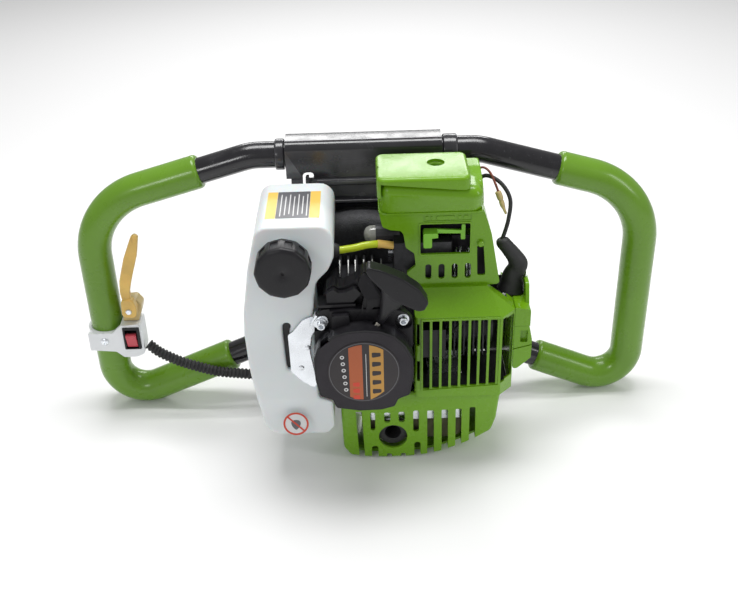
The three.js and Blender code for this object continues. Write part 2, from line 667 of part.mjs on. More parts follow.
function addCowl() {
  const face = outline([
    [41, -33], [41, 58, 4], [132, 58, 8], [132, -20, 6], [124, -33, 4],
  ], 2);
  const shell = slab(face, COWL_FRONT, -45);
  const inside = slab(outline([
    [43.5, -40], [43.5, 55.5, 3], [129.5, 55.5, 6], [129.5, -19, 5], [122, -31], [122, -40],
  ], 2), COWL_FRONT + WALL, -44);
  const ramp = profile(outline([[-117, 56], [-95.3, 66.5], [-95.3, 56]]), 46, 118);
  const bars = [];
  const pitch = 8.2;
  for (let i = 0; i < 10; i++) {
    const x = 48 + pitch * i;
    bars.push(slab(rectangle(x, -25, x + 5.2, 47, 1), COWL_FRONT - 1, COWL_FRONT + 4, 1));
  }
  add('cylinder_cowl', carve(
    toSolid(shell),
    inside,
    block([46, -94, 52], [128, -44, 60]),
    block([40, -99.5, -12], [45, -44, 52]),
    block([112, -86, 24], [134, -52, 70]),
    ...bars,
  ).add(toSolid(ramp)), green());

  const vent = outline([
    [132.3, 40], [146, 44, 4], [150, 28], [153.9, 10], [153.9, -8], [145, -34, 4], [132.3, -30],
  ], 2);
  const vents = [];
  for (let i = 0; i < 5; i++) {
    vents.push(block([140, -100 + 10 * i, -20], [160, -95 + 10 * i, 20]));
  }
  add('cowl_side_vent', carve(toSolid(slab(vent, -112, -90)).add(toSolid(slab(vent, -90.5, -50))), ...vents),
    green());
}

function addExhaust() {
  const outlet = { x: 19.6, z: -88.4 };
  const port = { x: 72, y: -71 };
  const body = join(
    slab(rectangle(-10, -96, 90, -44, 12), -107.5, -56),
    block([56, -84, -45], [88, -58, -9]),
    barY(outlet, 8.4, -112, -107, 20),
  );
  add('muffler', carve(
    body,
    slab(rectangle(-8, -94, 88, -46, 10), -105.5, -58),
    bar([port.x, port.y, -50], [port.x, port.y, -5], 9, 16),
    barY(outlet, 6.4, -115, -100, 20),
  ), zinc());

  const shape = [
    [-30.3, -36], [-30, -70], [-29, -101, 6], [-22.5, -110.8, 5], [-9, -113.4, 6], [10, -115, 6],
    [36, -114.6, 8], [56, -112.4, 8], [70.6, -108, 6], [87.6, -101, 4], [101, -94, 5], [115.4, -84.6, 6],
    [120, -70, 6], [122, -50], [123, -38.6],
  ];
  const inner = [
    [-27.8, -20], [-27.5, -70], [-26.5, -99.5, 4], [-21, -108, 4], [-9, -110.9, 5], [10, -112.5, 5],
    [36, -112.1, 7], [55.6, -109.9, 7], [69.8, -105.6, 5], [86.6, -98.7, 3], [99.8, -91.8, 4],
    [113.2, -83, 5], [117.5, -69.4, 5], [119.5, -50], [120.5, -20],
  ];
  const openings = [
    [-15.8, -102, -9.2, -57], [-2.2, -80, 2.4, -58.5], [11.2, -71, 17.2, -59],
    [25.2, -71, 31.2, -58.5], [39.4, -83, 45, -57.5], [53, -108, 59.4, -58], [67.2, -103, 73.4, -57.5],
    [80.8, -95, 86.8, -57], [94, -89.7, 100, -55.5], [-1.6, -109, 4.8, -99.5], [40.5, -108, 46.6, -96],
  ];
  add('muffler_guard', carve(
    toSolid(slab(outline(shape), GUARD_FRONT, -48)),
    slab(outline(inner), GUARD_FRONT + WALL, -46),
    barY(outlet, 14, -120, -110, 24),
    ...openings.map((span) => slab(rectangle(...span, 2), -118, -110, 2)),
  ), green());
}

function addGearbox() {
  const front = PLATE_BACK + GAP;
  const body = toSolid(barY(CRANK, GEARBOX_R, front, GEARBOX_BACK, 36));
  add('gearbox_body', carve(
    body,
    barY(CRANK, GEARBOX_R - 4, front + 5, GEARBOX_BACK + 1, 36),
    barY(CRANK, 9, front - 1, front + 6, 16),
  ), blackCast());
  const start = GEARBOX_BACK + GAP;
  add('gearbox_cover', turned(CRANK, [
    [SHAFT_R + 1, start], [GEARBOX_R, start], [GEARBOX_R, start + 6], [34, start + 12], [24, start + 34],
    [16.4, start + 34], [16.4, start + 14], [SHAFT_R + 1, start + 12], [SHAFT_R + 1, start],
  ], 28), blackCast());
  add('output_bearing', turned(CRANK, [
    [SHAFT_R + 0.3, start + 14.4], [16, start + 14.4], [16, start + 32], [SHAFT_R + 0.3, start + 32],
    [SHAFT_R + 0.3, start + 14.4],
  ], 24), steel());
  const shaft = toSolid(barY(CRANK, SHAFT_R, 14, SHAFT_END, 24));
  const pinHole = bar([CRANK.x, SHAFT_END - 20, CRANK.z - 15], [CRANK.x, SHAFT_END - 20, CRANK.z + 15], 4, 16);
  add('output_shaft', carve(shaft.add(toSolid(gear(CRANK, WHEEL_TEETH, 18, 28))), pinHole), steel());
  const counter = { x: CRANK.x + COUNTERSHAFT_X, z: CRANK.z };
  add('countershaft', join(
    barY(counter, 3, -7, 37, 12),
    gear(counter, WHEEL_TEETH, -4, 4, Math.PI / WHEEL_TEETH),
    gear(counter, PINION_TEETH, 17, 29, Math.PI / PINION_TEETH),
  ), steel());
}

function addControls() {
  const ringAxis = [-LOOP_X, 0];
  const strap = join(
    layer(circle(...ringAxis, 19.4), -40, -14, 12),
    block([-270, -21, -40], [-229.8, -15, -14]),
    block([-256, -24, -46], [-229.8, 4, -9]),
  );
  add('switch_bracket', carve(
    strap,
    layer(circle(...ringAxis, 17.1), -60, 0, 12),
    block([-253.3, -30, -40.5], [-236.7, -2, -13.5]),
  ), surface(0xeceeee, 0.4));
  add('switch_body', carve(
    toSolid(block([-253, -27, -40.2], [-237, -2.4, -13.8])),
    block([-250.5, -30, -37.6], [-239.5, -14, -16.4]),
  ), blackPlastic());
  add('rocker', profile(outline([
    [-17.5, -35], [-24, -36.5], [-27, -27], [-29, -19], [-23, -18.5], [-17.5, -21],
  ], 0.6), -250, -240, 2), surface(0xc85a64, 0.3));

  add('throttle_mount', join(
    block([-252, -11.9, -8.7], [-235, 3, 0]),
    block([-249, -11.9, -1], [-237, 0, 9]),
    bar([LEVER_PIVOT.x, -12.5, LEVER_PIVOT.z], [LEVER_PIVOT.x, -5, LEVER_PIVOT.z], 4, 12),
  ), surface(0xe0bd70, 0.4));
  const blade = outline([
    [-250, 6], [-250, 22, 4], [-246, 48, 10], [-229, 91, 3], [-224, 88, 2], [-231, 58, 12],
    [-238, 30, 6], [-235, 14], [-236, 4],
  ], 1);
  add('throttle_lever', join(
    slab(blade, -19.5, -13.5),
    barY(LEVER_PIVOT, 8, -23, -12.8, 18),
  ), surface(0xe1be6e, 0.35));

  add('conduit', cord([
    [-226, -15, -39], [-219.3, -17, -45.2], [-199.2, -20, -55.2], [-178.8, -22, -62.2],
    [-158.1, -24, -67.3], [-126.7, -25, -71], [-95, -24, -77], [-66, -24, -84],
  ], 5.2, 24, 10), rubber());
}

addLoop('left', -1, 156, 141);
addLoop('right', 1, 181, 172);
addSaddle();
addMountingPlate();
addClutch();
addCrankTrain();
addCrankcase();
addIgnition(addCylinder());
addStarter();
addTank();
addIntake();
addAirBox();
addCowl();
addExhaust();
addGearbox();
addControls();

export default group;
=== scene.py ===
import json
import math

import bmesh
import bpy
from mathutils import Matrix, Vector


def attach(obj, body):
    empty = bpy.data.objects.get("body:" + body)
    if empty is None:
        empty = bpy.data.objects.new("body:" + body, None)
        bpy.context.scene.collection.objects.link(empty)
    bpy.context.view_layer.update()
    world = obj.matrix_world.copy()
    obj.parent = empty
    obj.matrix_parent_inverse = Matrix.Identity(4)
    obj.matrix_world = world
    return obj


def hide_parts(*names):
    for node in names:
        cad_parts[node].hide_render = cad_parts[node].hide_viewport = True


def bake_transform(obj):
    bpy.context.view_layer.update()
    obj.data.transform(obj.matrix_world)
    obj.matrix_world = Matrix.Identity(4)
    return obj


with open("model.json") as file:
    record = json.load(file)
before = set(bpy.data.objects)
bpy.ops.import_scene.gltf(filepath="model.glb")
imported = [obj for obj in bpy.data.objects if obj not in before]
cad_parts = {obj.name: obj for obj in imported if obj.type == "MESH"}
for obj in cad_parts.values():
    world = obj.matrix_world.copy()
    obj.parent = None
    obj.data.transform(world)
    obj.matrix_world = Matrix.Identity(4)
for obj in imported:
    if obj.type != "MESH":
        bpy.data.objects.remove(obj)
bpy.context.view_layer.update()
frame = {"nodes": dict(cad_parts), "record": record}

MM = 0.001
NODES = frame["nodes"]
MOUNTS = {mount["name"]: mount for mount in frame["record"]["mounts"]}

# Places are in millimetres from the middle of the handle loops, as in the part's design:
# the drive shaft ends on the crank axis, this far from that middle.
CRANK_X, CRANK_Z = -6.0, 20.0
CYLINDER_Y = -70.0
SHAFT_END = 114.0
ORIGIN = Vector(MOUNTS["drive_shaft_end"]["pos_m"]) - Vector((CRANK_X, SHAFT_END, CRANK_Z)) * MM


def place(x, y, z):
    return ORIGIN + Vector((x, y, z)) * MM


# ---- camera, floor and light ----

def add_camera():
    elevation = math.radians(31)
    distance = 1059
    camera = bpy.data.objects.new("camera", bpy.data.cameras.new("camera"))
    camera.data.lens = 50
    camera.data.sensor_width = 36
    camera.data.clip_start = 0.05
    level = Matrix.Rotation(math.pi / 2 - elevation, 4, "X")
    tilt = Matrix.Rotation(math.radians(-1.75), 4, "Z")
    eye = place(0, -distance * math.cos(elevation), distance * math.sin(elevation))
    camera.matrix_world = Matrix.Translation(eye) @ level @ tilt
    bpy.context.scene.collection.objects.link(camera)
    bpy.context.scene.camera = camera


def add_area_light(name, at, aim, size, power):
    light = bpy.data.objects.new(name, bpy.data.lights.new(name, "AREA"))
    light.data.shape = "RECTANGLE"
    light.data.size, light.data.size_y = size
    light.data.energy = power
    light.location = at
    light.rotation_euler = (Vector(aim) - Vector(at)).to_track_quat("-Z", "Y").to_euler()
    bpy.context.scene.collection.objects.link(light)


def add_studio():
    bpy.ops.mesh.primitive_plane_add(size=8)
    floor = bpy.context.object
    floor.name = "floor"
    shader = bpy.data.materials.new("floor")
    shader.use_nodes = True
    node = shader.node_tree.nodes["Principled BSDF"]
    node.inputs["Base Color"].default_value = (0.93, 0.93, 0.93, 1)
    node.inputs["Roughness"].default_value = 0.9
    floor.data.materials.append(shader)
    world = bpy.data.worlds.new("studio")
    world.use_nodes = True
    world.node_tree.nodes["Background"].inputs["Color"].default_value = (1, 1, 1, 1)
    world.node_tree.nodes["Background"].inputs["Strength"].default_value = 0.4
    bpy.context.scene.world = world
    bpy.context.scene.view_settings.view_transform = "Standard"
    middle = (0, 0, 0.12)
    add_area_light("top_softbox", (0, 0.15, 1.5), middle, (1.1, 0.5), 17)
    add_area_light("front_softbox", (-0.9, -1.6, 1.0), middle, (0.4, 0.4), 4.5)
    add_area_light("right_softbox", (1.5, -0.7, 0.9), middle, (0.3, 0.8), 4.5)
    add_area_light("back_softbox", (0, 1.6, 1.0), middle, (1.3, 0.3), 8)


# ---- materials ----

class Shader:
    """A Principled material whose colour, roughness and bump come from noise in part coordinates."""

    def __init__(self, name, colour, rough, metal=0.0):
        self.material = bpy.data.materials.new(name)
        self.material.use_nodes = True
        self.tree = self.material.node_tree
        self.surface = self.tree.nodes["Principled BSDF"]
        self.surface.inputs["Metallic"].default_value = metal
        self.colour = colour
        self.rough = rough
        self.position = self.node("ShaderNodeTexCoord").outputs["Object"]
        self.bumps = []

    def node(self, kind, **values):
        made = self.tree.nodes.new(kind)
        for key, value in values.items():
            setattr(made, key, value)
        return made

    def link(self, source, target):
        self.tree.links.new(source, target)

    def constant(self, **values):
        for key, value in values.items():
            self.surface.inputs[key.replace("_", " ")].default_value = value
        return self

    def noise(self, scale, detail=4, stretch=None, rough=0.55):
        made = self.node("ShaderNodeTexNoise")
        made.inputs["Scale"].default_value = scale
        made.inputs["Detail"].default_value = detail
        made.inputs["Roughness"].default_value = rough
        source = self.position
        if stretch:
            mapping = self.node("ShaderNodeMapping")
            mapping.inputs["Scale"].default_value = stretch
            self.link(source, mapping.inputs["Vector"])
            source = mapping.outputs["Vector"]
        self.link(source, made.inputs["Vector"])
        return made.outputs["Fac"]

    def ramp(self, source, low, high, start=0.35, end=0.65):
        made = self.node("ShaderNodeMapRange")
        made.inputs["From Min"].default_value = start
        made.inputs["From Max"].default_value = end
        made.inputs["To Min"].default_value = low
        made.inputs["To Max"].default_value = high
        self.link(source, made.inputs["Value"])
        return made.outputs["Result"]

    def mix(self, factor, first, second):
        made = self.node("ShaderNodeMix", data_type="RGBA")
        self.link(factor, made.inputs["Factor"])
        for socket, value in ((made.inputs[6], first), (made.inputs[7], second)):
            if hasattr(value, "node"):
                self.link(value, socket)
            else:
                socket.default_value = (*value, 1)
        return made.outputs[2]

    def paint(self, vary=0.06, scale=18, spread=0.06, grain=70):
        """Base colour that drifts over the piece, and roughness that drifts at a finer scale."""
        dark = [c * (1 - vary) for c in self.colour]
        light = [min(1, c * (1 + vary)) for c in self.colour]
        self.base = self.mix(self.ramp(self.noise(scale), 0, 1), dark, light)
        self.roughness = self.ramp(self.noise(grain), self.rough - spread, self.rough + spread)
        return self

    def speckle(self, scale, colour, start, end, amount=1.0, stretch=None):
        """Small marks of another colour where a noise is high."""
        marks = self.ramp(self.noise(scale, 6, stretch), 0, amount, start, end)
        self.base = self.mix(marks, self.base, colour)
        return self

    def worn(self, colour, start=0.53, end=0.6, amount=0.7):
        """Edges rub lighter."""
        edge = self.node("ShaderNodeNewGeometry").outputs["Pointiness"]
        rubbed = self.ramp(edge, 0, amount, start, end)
        self.base = self.mix(rubbed, self.base, colour)
        return self

    def bump(self, scale, depth_mm, detail=3, stretch=None):
        self.bumps.append((self.noise(scale, detail, stretch), depth_mm))
        return self

    def done(self):
        self.link(self.base, self.surface.inputs["Base Color"])
        self.link(self.roughness, self.surface.inputs["Roughness"])
        normal = None
        for height, depth in self.bumps:
            made = self.node("ShaderNodeBump")
            made.inputs["Distance"].default_value = depth * MM
            self.link(height, made.inputs["Height"])
            if normal:
                self.link(normal, made.inputs["Normal"])
            normal = made.outputs["Normal"]
        if normal:
            self.link(normal, self.surface.inputs["Normal"])
        return self.material


def moulded(name, colour, rough, coat=0.0, vary=0.05, orange_peel=0.03):
    made = Shader(name, colour, rough).paint(vary, 14, 0.05).bump(260, orange_peel, 2).bump(2200, 0.012, 2)
    return made.constant(Coat_Weight=coat, Coat_Roughness=0.12, Specular_IOR_Level=0.35).done()


def cast(name, colour, rough, grit, metal=0.0, light=(0.2, 0.2, 0.21)):
    made = Shader(name, colour, rough, metal).paint(0.25, 60, 0.1, 300)
    made.speckle(1400, light, 0.6, 0.75, 0.5)
    return made.bump(900, grit, 5).bump(2600, grit * 0.4, 3).done()


def polished(name, colour, rough, brush=(1, 1, 1), wear=(0.25, 0.25, 0.26)):
    made = Shader(name, colour, rough, 1.0).paint(0.12, 40, 0.09, 160)
    made.speckle(90, wear, 0.62, 0.8, 0.35)
    return made.bump(900, 0.02, 4, brush).done()


GREEN = moulded("green_moulding", (0.15, 0.34, 0.006), 0.27, 0.2, 0.04, 0.012)
CHOKE_GREEN = moulded("choke_green", (0.2, 0.52, 0.03), 0.35, 0.2)
GRIP_GREEN = moulded("grip_vinyl", (0.125, 0.27, 0.014), 0.3, 0.35, 0.07)
BLACK = Shader("black_enamel", (0.009, 0.0085, 0.011), 0.2).paint(0.2, 30, 0.08).speckle(
    260, (0.09, 0.09, 0.1), 0.66, 0.72, 0.5).worn((0.12, 0.12, 0.13)).bump(320, 0.05).bump(
    1500, 0.015).constant(Coat_Weight=0.3, Coat_Roughness=0.15).done()
SATIN_BLACK = Shader("black_moulding", (0.009, 0.0085, 0.0105), 0.36).paint(0.15, 30, 0.07).speckle(
    500, (0.06, 0.06, 0.065), 0.62, 0.8, 0.4).bump(700, 0.03).bump(2400, 0.02).constant(
    Specular_IOR_Level=0.35).done()
FACE_BLACK = Shader("matt_face_moulding", (0.022, 0.019, 0.024), 0.5).paint(0.12, 26, 0.06).speckle(
    900, (0.09, 0.085, 0.09), 0.6, 0.8, 0.35).bump(1300, 0.035).bump(3000, 0.02).constant(
    Specular_IOR_Level=0.3).done()
CAST_BLACK = cast("rough_black_casting", (0.022, 0.021, 0.024), 0.5, 0.35)
BARE_CAST = cast("bare_casting", (0.42, 0.42, 0.41), 0.45, 0.08, 0.9, (0.6, 0.6, 0.6))
DARK_CAST = cast("dark_casting", (0.05, 0.05, 0.055), 0.5, 0.15, 0.5)
SAND_CAST = cast("sand_cast_black", (0.045, 0.045, 0.05), 0.42, 0.8, 0.2, (0.4, 0.4, 0.42))
# Painted shade: a darker olive tone for the lower half of the silencer, standing in for shade under its
# upper half.
SILENCER_SHADE = cast("silencer_painted_shade", (0.1, 0.095, 0.05), 0.5, 0.1, 0.6, (0.2, 0.2, 0.16))
STEEL = polished("ground_steel", (0.56, 0.56, 0.57), 0.28, (1, 12, 1))
ZINC = polished("bright_zinc", (0.82, 0.85, 0.89), 0.27, wear=(0.5, 0.5, 0.52))
RUBBER = Shader("matt_rubber", (0.02, 0.02, 0.021), 0.6).paint(0.2, 60, 0.1).speckle(
    700, (0.07, 0.07, 0.07), 0.62, 0.8, 0.5).bump(1200, 0.04).done()
TANK = Shader("white_polyethylene", (0.74, 0.78, 0.79), 0.38).paint(0.025, 9, 0.05).bump(
    90, 0.15, 2).bump(900, 0.03).constant(
    Subsurface_Weight=0.2, Subsurface_Scale=0.01, Coat_Weight=0.1).done()
WHITE = moulded("white_moulding", (0.83, 0.85, 0.87), 0.35, 0.1, 0.03)
RED = moulded("red_moulding", (0.55, 0.06, 0.085), 0.28, 0.3)
TAN = Shader("ochre_moulding", (0.72, 0.47, 0.12), 0.38).paint(0.12, 40, 0.06).speckle(
    120, (0.35, 0.16, 0.03), 0.62, 0.78, 0.5, (1, 1, 0.3)).bump(500, 0.06).constant(
    Subsurface_Weight=0.1, Subsurface_Scale=0.004).done()
PALE_TAN = Shader("pale_tan_moulding", (0.62, 0.48, 0.22), 0.35).paint(0.12, 60, 0.06).bump(
    500, 0.05).done()
HOSE = Shader("clear_yellow_hose", (0.62, 0.75, 0.03), 0.2).paint(0.12, 60, 0.04).bump(
    500, 0.03).constant(Transmission_Weight=0.25, Coat_Weight=0.3, IOR=1.45).done()
BULB = Shader("milky_bulb", (0.6, 0.6, 0.55), 0.15).paint(0.08, 120, 0.04).bump(
    700, 0.02).constant(Transmission_Weight=0.55, Coat_Weight=0.3, IOR=1.45).done()
ORANGE = moulded("orange_print", (0.42, 0.1, 0.03), 0.35, 0.2, 0.08)
GOLD = moulded("gold_print", (0.5, 0.26, 0.05), 0.35, 0.2, 0.08)
YELLOW = moulded("yellow_print", (0.85, 0.55, 0.12), 0.4, 0.1, 0.05)
DARK_PRINT = moulded("dark_print", (0.035, 0.03, 0.032), 0.5, 0.05, 0.1)
GREY = moulded("grey_print", (0.12, 0.12, 0.13), 0.4, 0.1, 0.08)
PALE = moulded("pale_print", (0.7, 0.7, 0.7), 0.4, 0.1, 0.05)
WARNING_RED = moulded("red_print", (0.6, 0.06, 0.03), 0.4, 0.1, 0.05)
WIRE = Shader("brown_insulation", (0.2, 0.05, 0.03), 0.45).paint(0.3, 200, 0.08).bump(900, 0.02).done()
ROPE = Shader("braided_rope", (0.6, 0.57, 0.5), 0.75).paint(0.2, 300, 0.08).bump(
    1600, 0.3, 2, (1, 0.4, 1)).done()
FOAM = Shader("open_foam", (0.02, 0.02, 0.02), 0.95).paint(0.4, 300, 0.03).bump(1100, 0.9, 2).done()
NYLON = moulded("natural_nylon", (0.66, 0.66, 0.6), 0.45)


# ---- shapes, in millimetres from the middle of the handle loops ----

def rounded(points, radius=0.0, steps=5):
    """Closed outline with arcs at its corners; a point may carry its own radius as a third number."""
    made = []
    count = len(points)
    for i, point in enumerate(points):
        corner = Vector(point[:2])
        before = Vector(points[i - 1][:2])
        after = Vector(points[(i + 1) % count][:2])
        back, ahead = before - corner, after - corner
        half = back.angle(ahead) / 2
        wanted = point[2] if len(point) > 2 else radius
        reach = min(wanted / math.tan(half), back.length * 0.48, ahead.length * 0.48)
        if wanted <= 0 or half > math.radians(89):
            made.append(corner)
            continue
        first = corner + back.normalized() * reach
        last = corner + ahead.normalized() * reach
        middle = corner + (back.normalized() + ahead.normalized()).normalized() * (reach / math.cos(half))
        start, end = first - middle, last - middle
        sweep = start.angle_signed(end)
        for k in range(steps + 1):
            turn = Matrix.Rotation(-sweep * k / steps, 2)
            made.append(middle + turn @ start)
    return made


def circle(x, y, radius, steps=48):
    return [Vector((x + radius * math.cos(a), y + radius * math.sin(a)))
            for a in (2 * math.pi * i / steps for i in range(steps))]


def rectangle(x0, y0, x1, y1, radius=0.0, steps=5):
    return rounded([(x0, y0), (x1, y0), (x1, y1), (x0, y1)], radius, steps)


AXES = {
    "X": lambda p, depth: (depth, p[0], p[1]),
    "Y": lambda p, depth: (p[0], depth, p[1]),
    "Z": lambda p, depth: (p[0], p[1], depth),
}


def to_object(bm, name):
    bmesh.ops.recalc_face_normals(bm, faces=bm.faces)
    bmesh.ops.transform(bm, matrix=Matrix.Translation(ORIGIN) @ Matrix.Scale(MM, 4), verts=bm.verts)
    mesh = bpy.data.meshes.new(name)
    bm.to_mesh(mesh)
    bm.free()
    made = bpy.data.objects.new(name, mesh)
    bpy.context.scene.collection.objects.link(made)
    return made


def prism(name, outline, axis, low, high):
    bm = bmesh.new()
    rings = [[bm.verts.new(AXES[axis](p, depth)) for p in outline] for depth in (low, high)]
    bm.faces.new(rings[0])
    bm.faces.new(rings[1][::-1])
    for i in range(len(outline)):
        j = (i + 1) % len(outline)
        bm.faces.new((rings[0][i], rings[1][i], rings[1][j], rings[0][j]))
    return to_object(bm, name)


def box(name, low, high):
    return prism(name, rectangle(low[0], low[1], high[0], high[1]), "Z", low[2], high[2])


def frames_along(path):
    """A pair of directions across each place of a path, carried along without twist."""
    tangents = []
    for i in range(len(path)):
        ahead = path[min(i + 1, len(path) - 1)] - path[max(i - 1, 0)]
        tangents.append(ahead.normalized())
    side = tangents[0].orthogonal().normalized()
    frames = []
    for i, tangent in enumerate(tangents):
        if i:
            side = tangents[i - 1].rotation_difference(tangent) @ side
        side = (side - tangent * side.dot(tangent)).normalized()
        frames.append((side, tangent.cross(side)))
    return frames


def sweep(name, path, radii, sides=32):
    """Round tube along a path, with one radius, or one for each place."""
    path = [Vector(p) for p in path]
    if not hasattr(radii, "__len__"):
        radii = [radii] * len(path)
    bm = bmesh.new()
    rings = []
    for at, (u, v), radius in zip(path, frames_along(path), radii):
        ring = []
        for k in range(sides):
            angle = 2 * math.pi * k / sides
            ring.append(bm.verts.new(at + (u * math.cos(angle) + v * math.sin(angle)) * radius))
        rings.append(ring)
    for a, b in zip(rings, rings[1:]):
        for k in range(sides):
            j = (k + 1) % sides
            bm.faces.new((a[k], a[j], b[j], b[k]))
    bm.faces.new(rings[0][::-1])
    bm.faces.new(rings[-1])
    return to_object(bm, name)


def lathe(name, at, pairs, sides=64, radius_at=None):
    """Turned about the Y axis through at; pairs of radius and Y from the front centre to the back."""
    bm = bmesh.new()
    rings = []
    for radius, y in pairs:
        ring = []
        for k in range(sides):
            angle = 2 * math.pi * k / sides
            r = radius_at(radius, angle) if radius_at else radius
            ring.append(bm.verts.new((at[0] + r * math.cos(angle), y, at[1] + r * math.sin(angle))))
        rings.append(ring)
    for a, b in zip(rings, rings[1:]):
        for k in range(sides):
            j = (k + 1) % sides
            bm.faces.new((a[k], b[k], b[j], a[j]))
    if pairs[0] == pairs[-1]:
        bmesh.ops.remove_doubles(bm, verts=bm.verts, dist=1e-4)
    else:
        bm.faces.new(rings[0])
        bm.faces.new(rings[-1][::-1])
    return to_object(bm, name)


def lathe_z(name, at, pairs, sides=48):
    """Cup turned about a vertical axis; pairs of radius and Z from the rim to the bottom."""
    bm = bmesh.new()
    rings = []
    for radius, z in pairs:
        rings.append([bm.verts.new((at[0] + radius * math.cos(2 * math.pi * k / sides),
                                    at[1] + radius * math.sin(2 * math.pi * k / sides),
                                    z)) for k in range(sides)])
    for a, b in zip(rings, rings[1:]):
        for k in range(sides):
            j = (k + 1) % sides
            bm.faces.new((a[k], b[k], b[j], a[j]))
    bm.faces.new(rings[-1])
    made = to_object(bm, name)
    thick = made.modifiers.new("thick", "SOLIDIFY")
    thick.thickness = 1.2 * MM
    return made


def loft(name, rings):
    """Closed skin through rings of equally many places."""
    bm = bmesh.new()
    made = [[bm.verts.new(p) for p in ring] for ring in rings]
    for a, b in zip(made, made[1:]):
        for k in range(len(a)):
            j = (k + 1) % len(a)
            bm.faces.new((a[k], a[j], b[j], b[k]))
    bm.faces.new(made[0][::-1])
    bm.faces.new(made[-1])
    return to_object(bm, name)


def pillow(name, x0, y0, x1, y1, corner, low, top, edge, steps=8, lean=0.0):
    """Block with rounded corners and upper rim; top gives its height at an X, its front may lean out."""
    rings = [[Vector((p[0], p[1], low)) for p in rectangle(x0, y0, x1, y1, corner, steps)]]
    for k in range(steps + 1):
        angle = math.pi / 2 * k / steps
        inset, drop = edge * (1 - math.cos(angle)), edge * (1 - math.sin(angle))
        plan = rectangle(x0 + inset, y0 + inset, x1 - inset, y1 - inset, max(corner - inset, 0.6), steps)
        shift = [lean if p[1] < (y0 + y1) / 2 else 0 for p in plan]
        rings.append([Vector((p[0], p[1] - out, top(p[0]) - drop)) for p, out in zip(plan, shift)])
    return loft(name, rings)


def measured(path):
    """Distances along a path to each of its places, and a function for the place at a distance."""
    run = [0.0]
    for a, b in zip(path, path[1:]):
        run.append(run[-1] + (b - a).length)

    def at(distance):
        i = max(k for k in range(len(run)) if run[k] <= distance + 1e-9)
        i = min(i, len(path) - 2)
        return path[i].lerp(path[i + 1], (distance - run[i]) / (run[i + 1] - run[i]))

    return run, at


def smooth_path(points, steps=8):
    """Catmull-Rom curve through the points."""
    points = [Vector(p) for p in points]
    made = []
    for i in range(len(points) - 1):
        p0, p1 = points[max(i - 1, 0)], points[i]
        p2, p3 = points[i + 1], points[min(i + 2, len(points) - 1)]
        for k in range(steps):
            t = k / steps
            made.append(0.5 * (2 * p1 + (p2 - p0) * t + (2 * p0 - 5 * p1 + 4 * p2 - p3) * t * t
                               + (3 * p1 - p0 - 3 * p2 + p3) * t ** 3))
    made.append(points[-1])
    return made


def apply_modifiers(made):
    bpy.context.view_layer.update()
    ready = made.evaluated_get(bpy.context.evaluated_depsgraph_get())
    mesh = bpy.data.meshes.new_from_object(ready)
    made.modifiers.clear()
    made.data = mesh
    return made


def combine(made, others, operation):
    for other in others:
        change = made.modifiers.new("combine", "BOOLEAN")
        change.operation = operation
        change.solver = "EXACT"
        change.object = other
        apply_modifiers(made)
        bpy.data.objects.remove(other)
    return made


def carve(made, *cutters):
    return combine(made, cutters, "DIFFERENCE")


def join(made, *others):
    return combine(made, others, "UNION")


def turned(made, turn, at):
    """Turns a shape about the middle of the handle loops, then moves that middle to a place."""
    for step in (Matrix.Translation(-ORIGIN), turn, Matrix.Translation(place(*at))):
        made.data.transform(step)
    return made


def half_space(point, normal, size=400):
    """A big block that fills everything on the side of a plane that its normal points to."""
    made = box("half_space", (-size / 2, -size / 2, 0), (size / 2, size / 2, size))
    turn = Vector((0, 0, 1)).rotation_difference(Vector(normal).normalized())
    return turned(made, turn.to_matrix().to_4x4(), point)


def plane_through(a, b, c):
    a, b, c = Vector(a), Vector(b), Vector(c)
    normal = (b - a).cross(c - a)
    return a, normal if normal.z > 0 else -normal


def soften(made, voxel, rounds):
    """Rounds every edge of a solid: a fine even mesh, then relaxed."""
    remesh = made.modifiers.new("remesh", "REMESH")
    remesh.mode = "VOXEL"
    remesh.voxel_size = voxel * MM
    relax = made.modifiers.new("relax", "SMOOTH")
    relax.factor = 0.5
    relax.iterations = rounds
    apply_modifiers(made)
    made.data.shade_smooth()
    return made


def bevel(made, width, segments=3, angle=35):
    made.data.shade_smooth()
    made.data.set_sharp_from_angle(angle=math.radians(angle))
    edge = made.modifiers.new("bevel", "BEVEL")
    edge.width = width * MM
    edge.segments = segments
    edge.limit_method = "ANGLE"
    edge.angle_limit = math.radians(angle)
    edge.harden_normals = True
    return made


def smooth(made, angle=35):
    made.data.shade_smooth()
    made.data.set_sharp_from_angle(angle=math.radians(angle))
    return made


def piece(made, material, body="powerhead", replaces=()):
    made.data.materials.clear()
    made.data.materials.append(material)
    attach(made, body)
    if replaces:
        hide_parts(*replaces)


def dress(node, material, width=0.4, angle=35):
    """A carried-over CAD node: its own mesh, with softened edges and a material."""
    made = NODES[node]
    made.data.materials.clear()
    made.data.materials.append(material)
    edge = made.modifiers.new("bevel", "BEVEL")
    edge.width = width * MM
    edge.segments = 2
    edge.limit_method = "ANGLE"
    edge.angle_limit = math.radians(angle)
    edge.harden_normals = True


# ---- handle frame ----

LOOP_X = 272.5
TOP_Z = 164.5
LOW_AT = (181, -76)


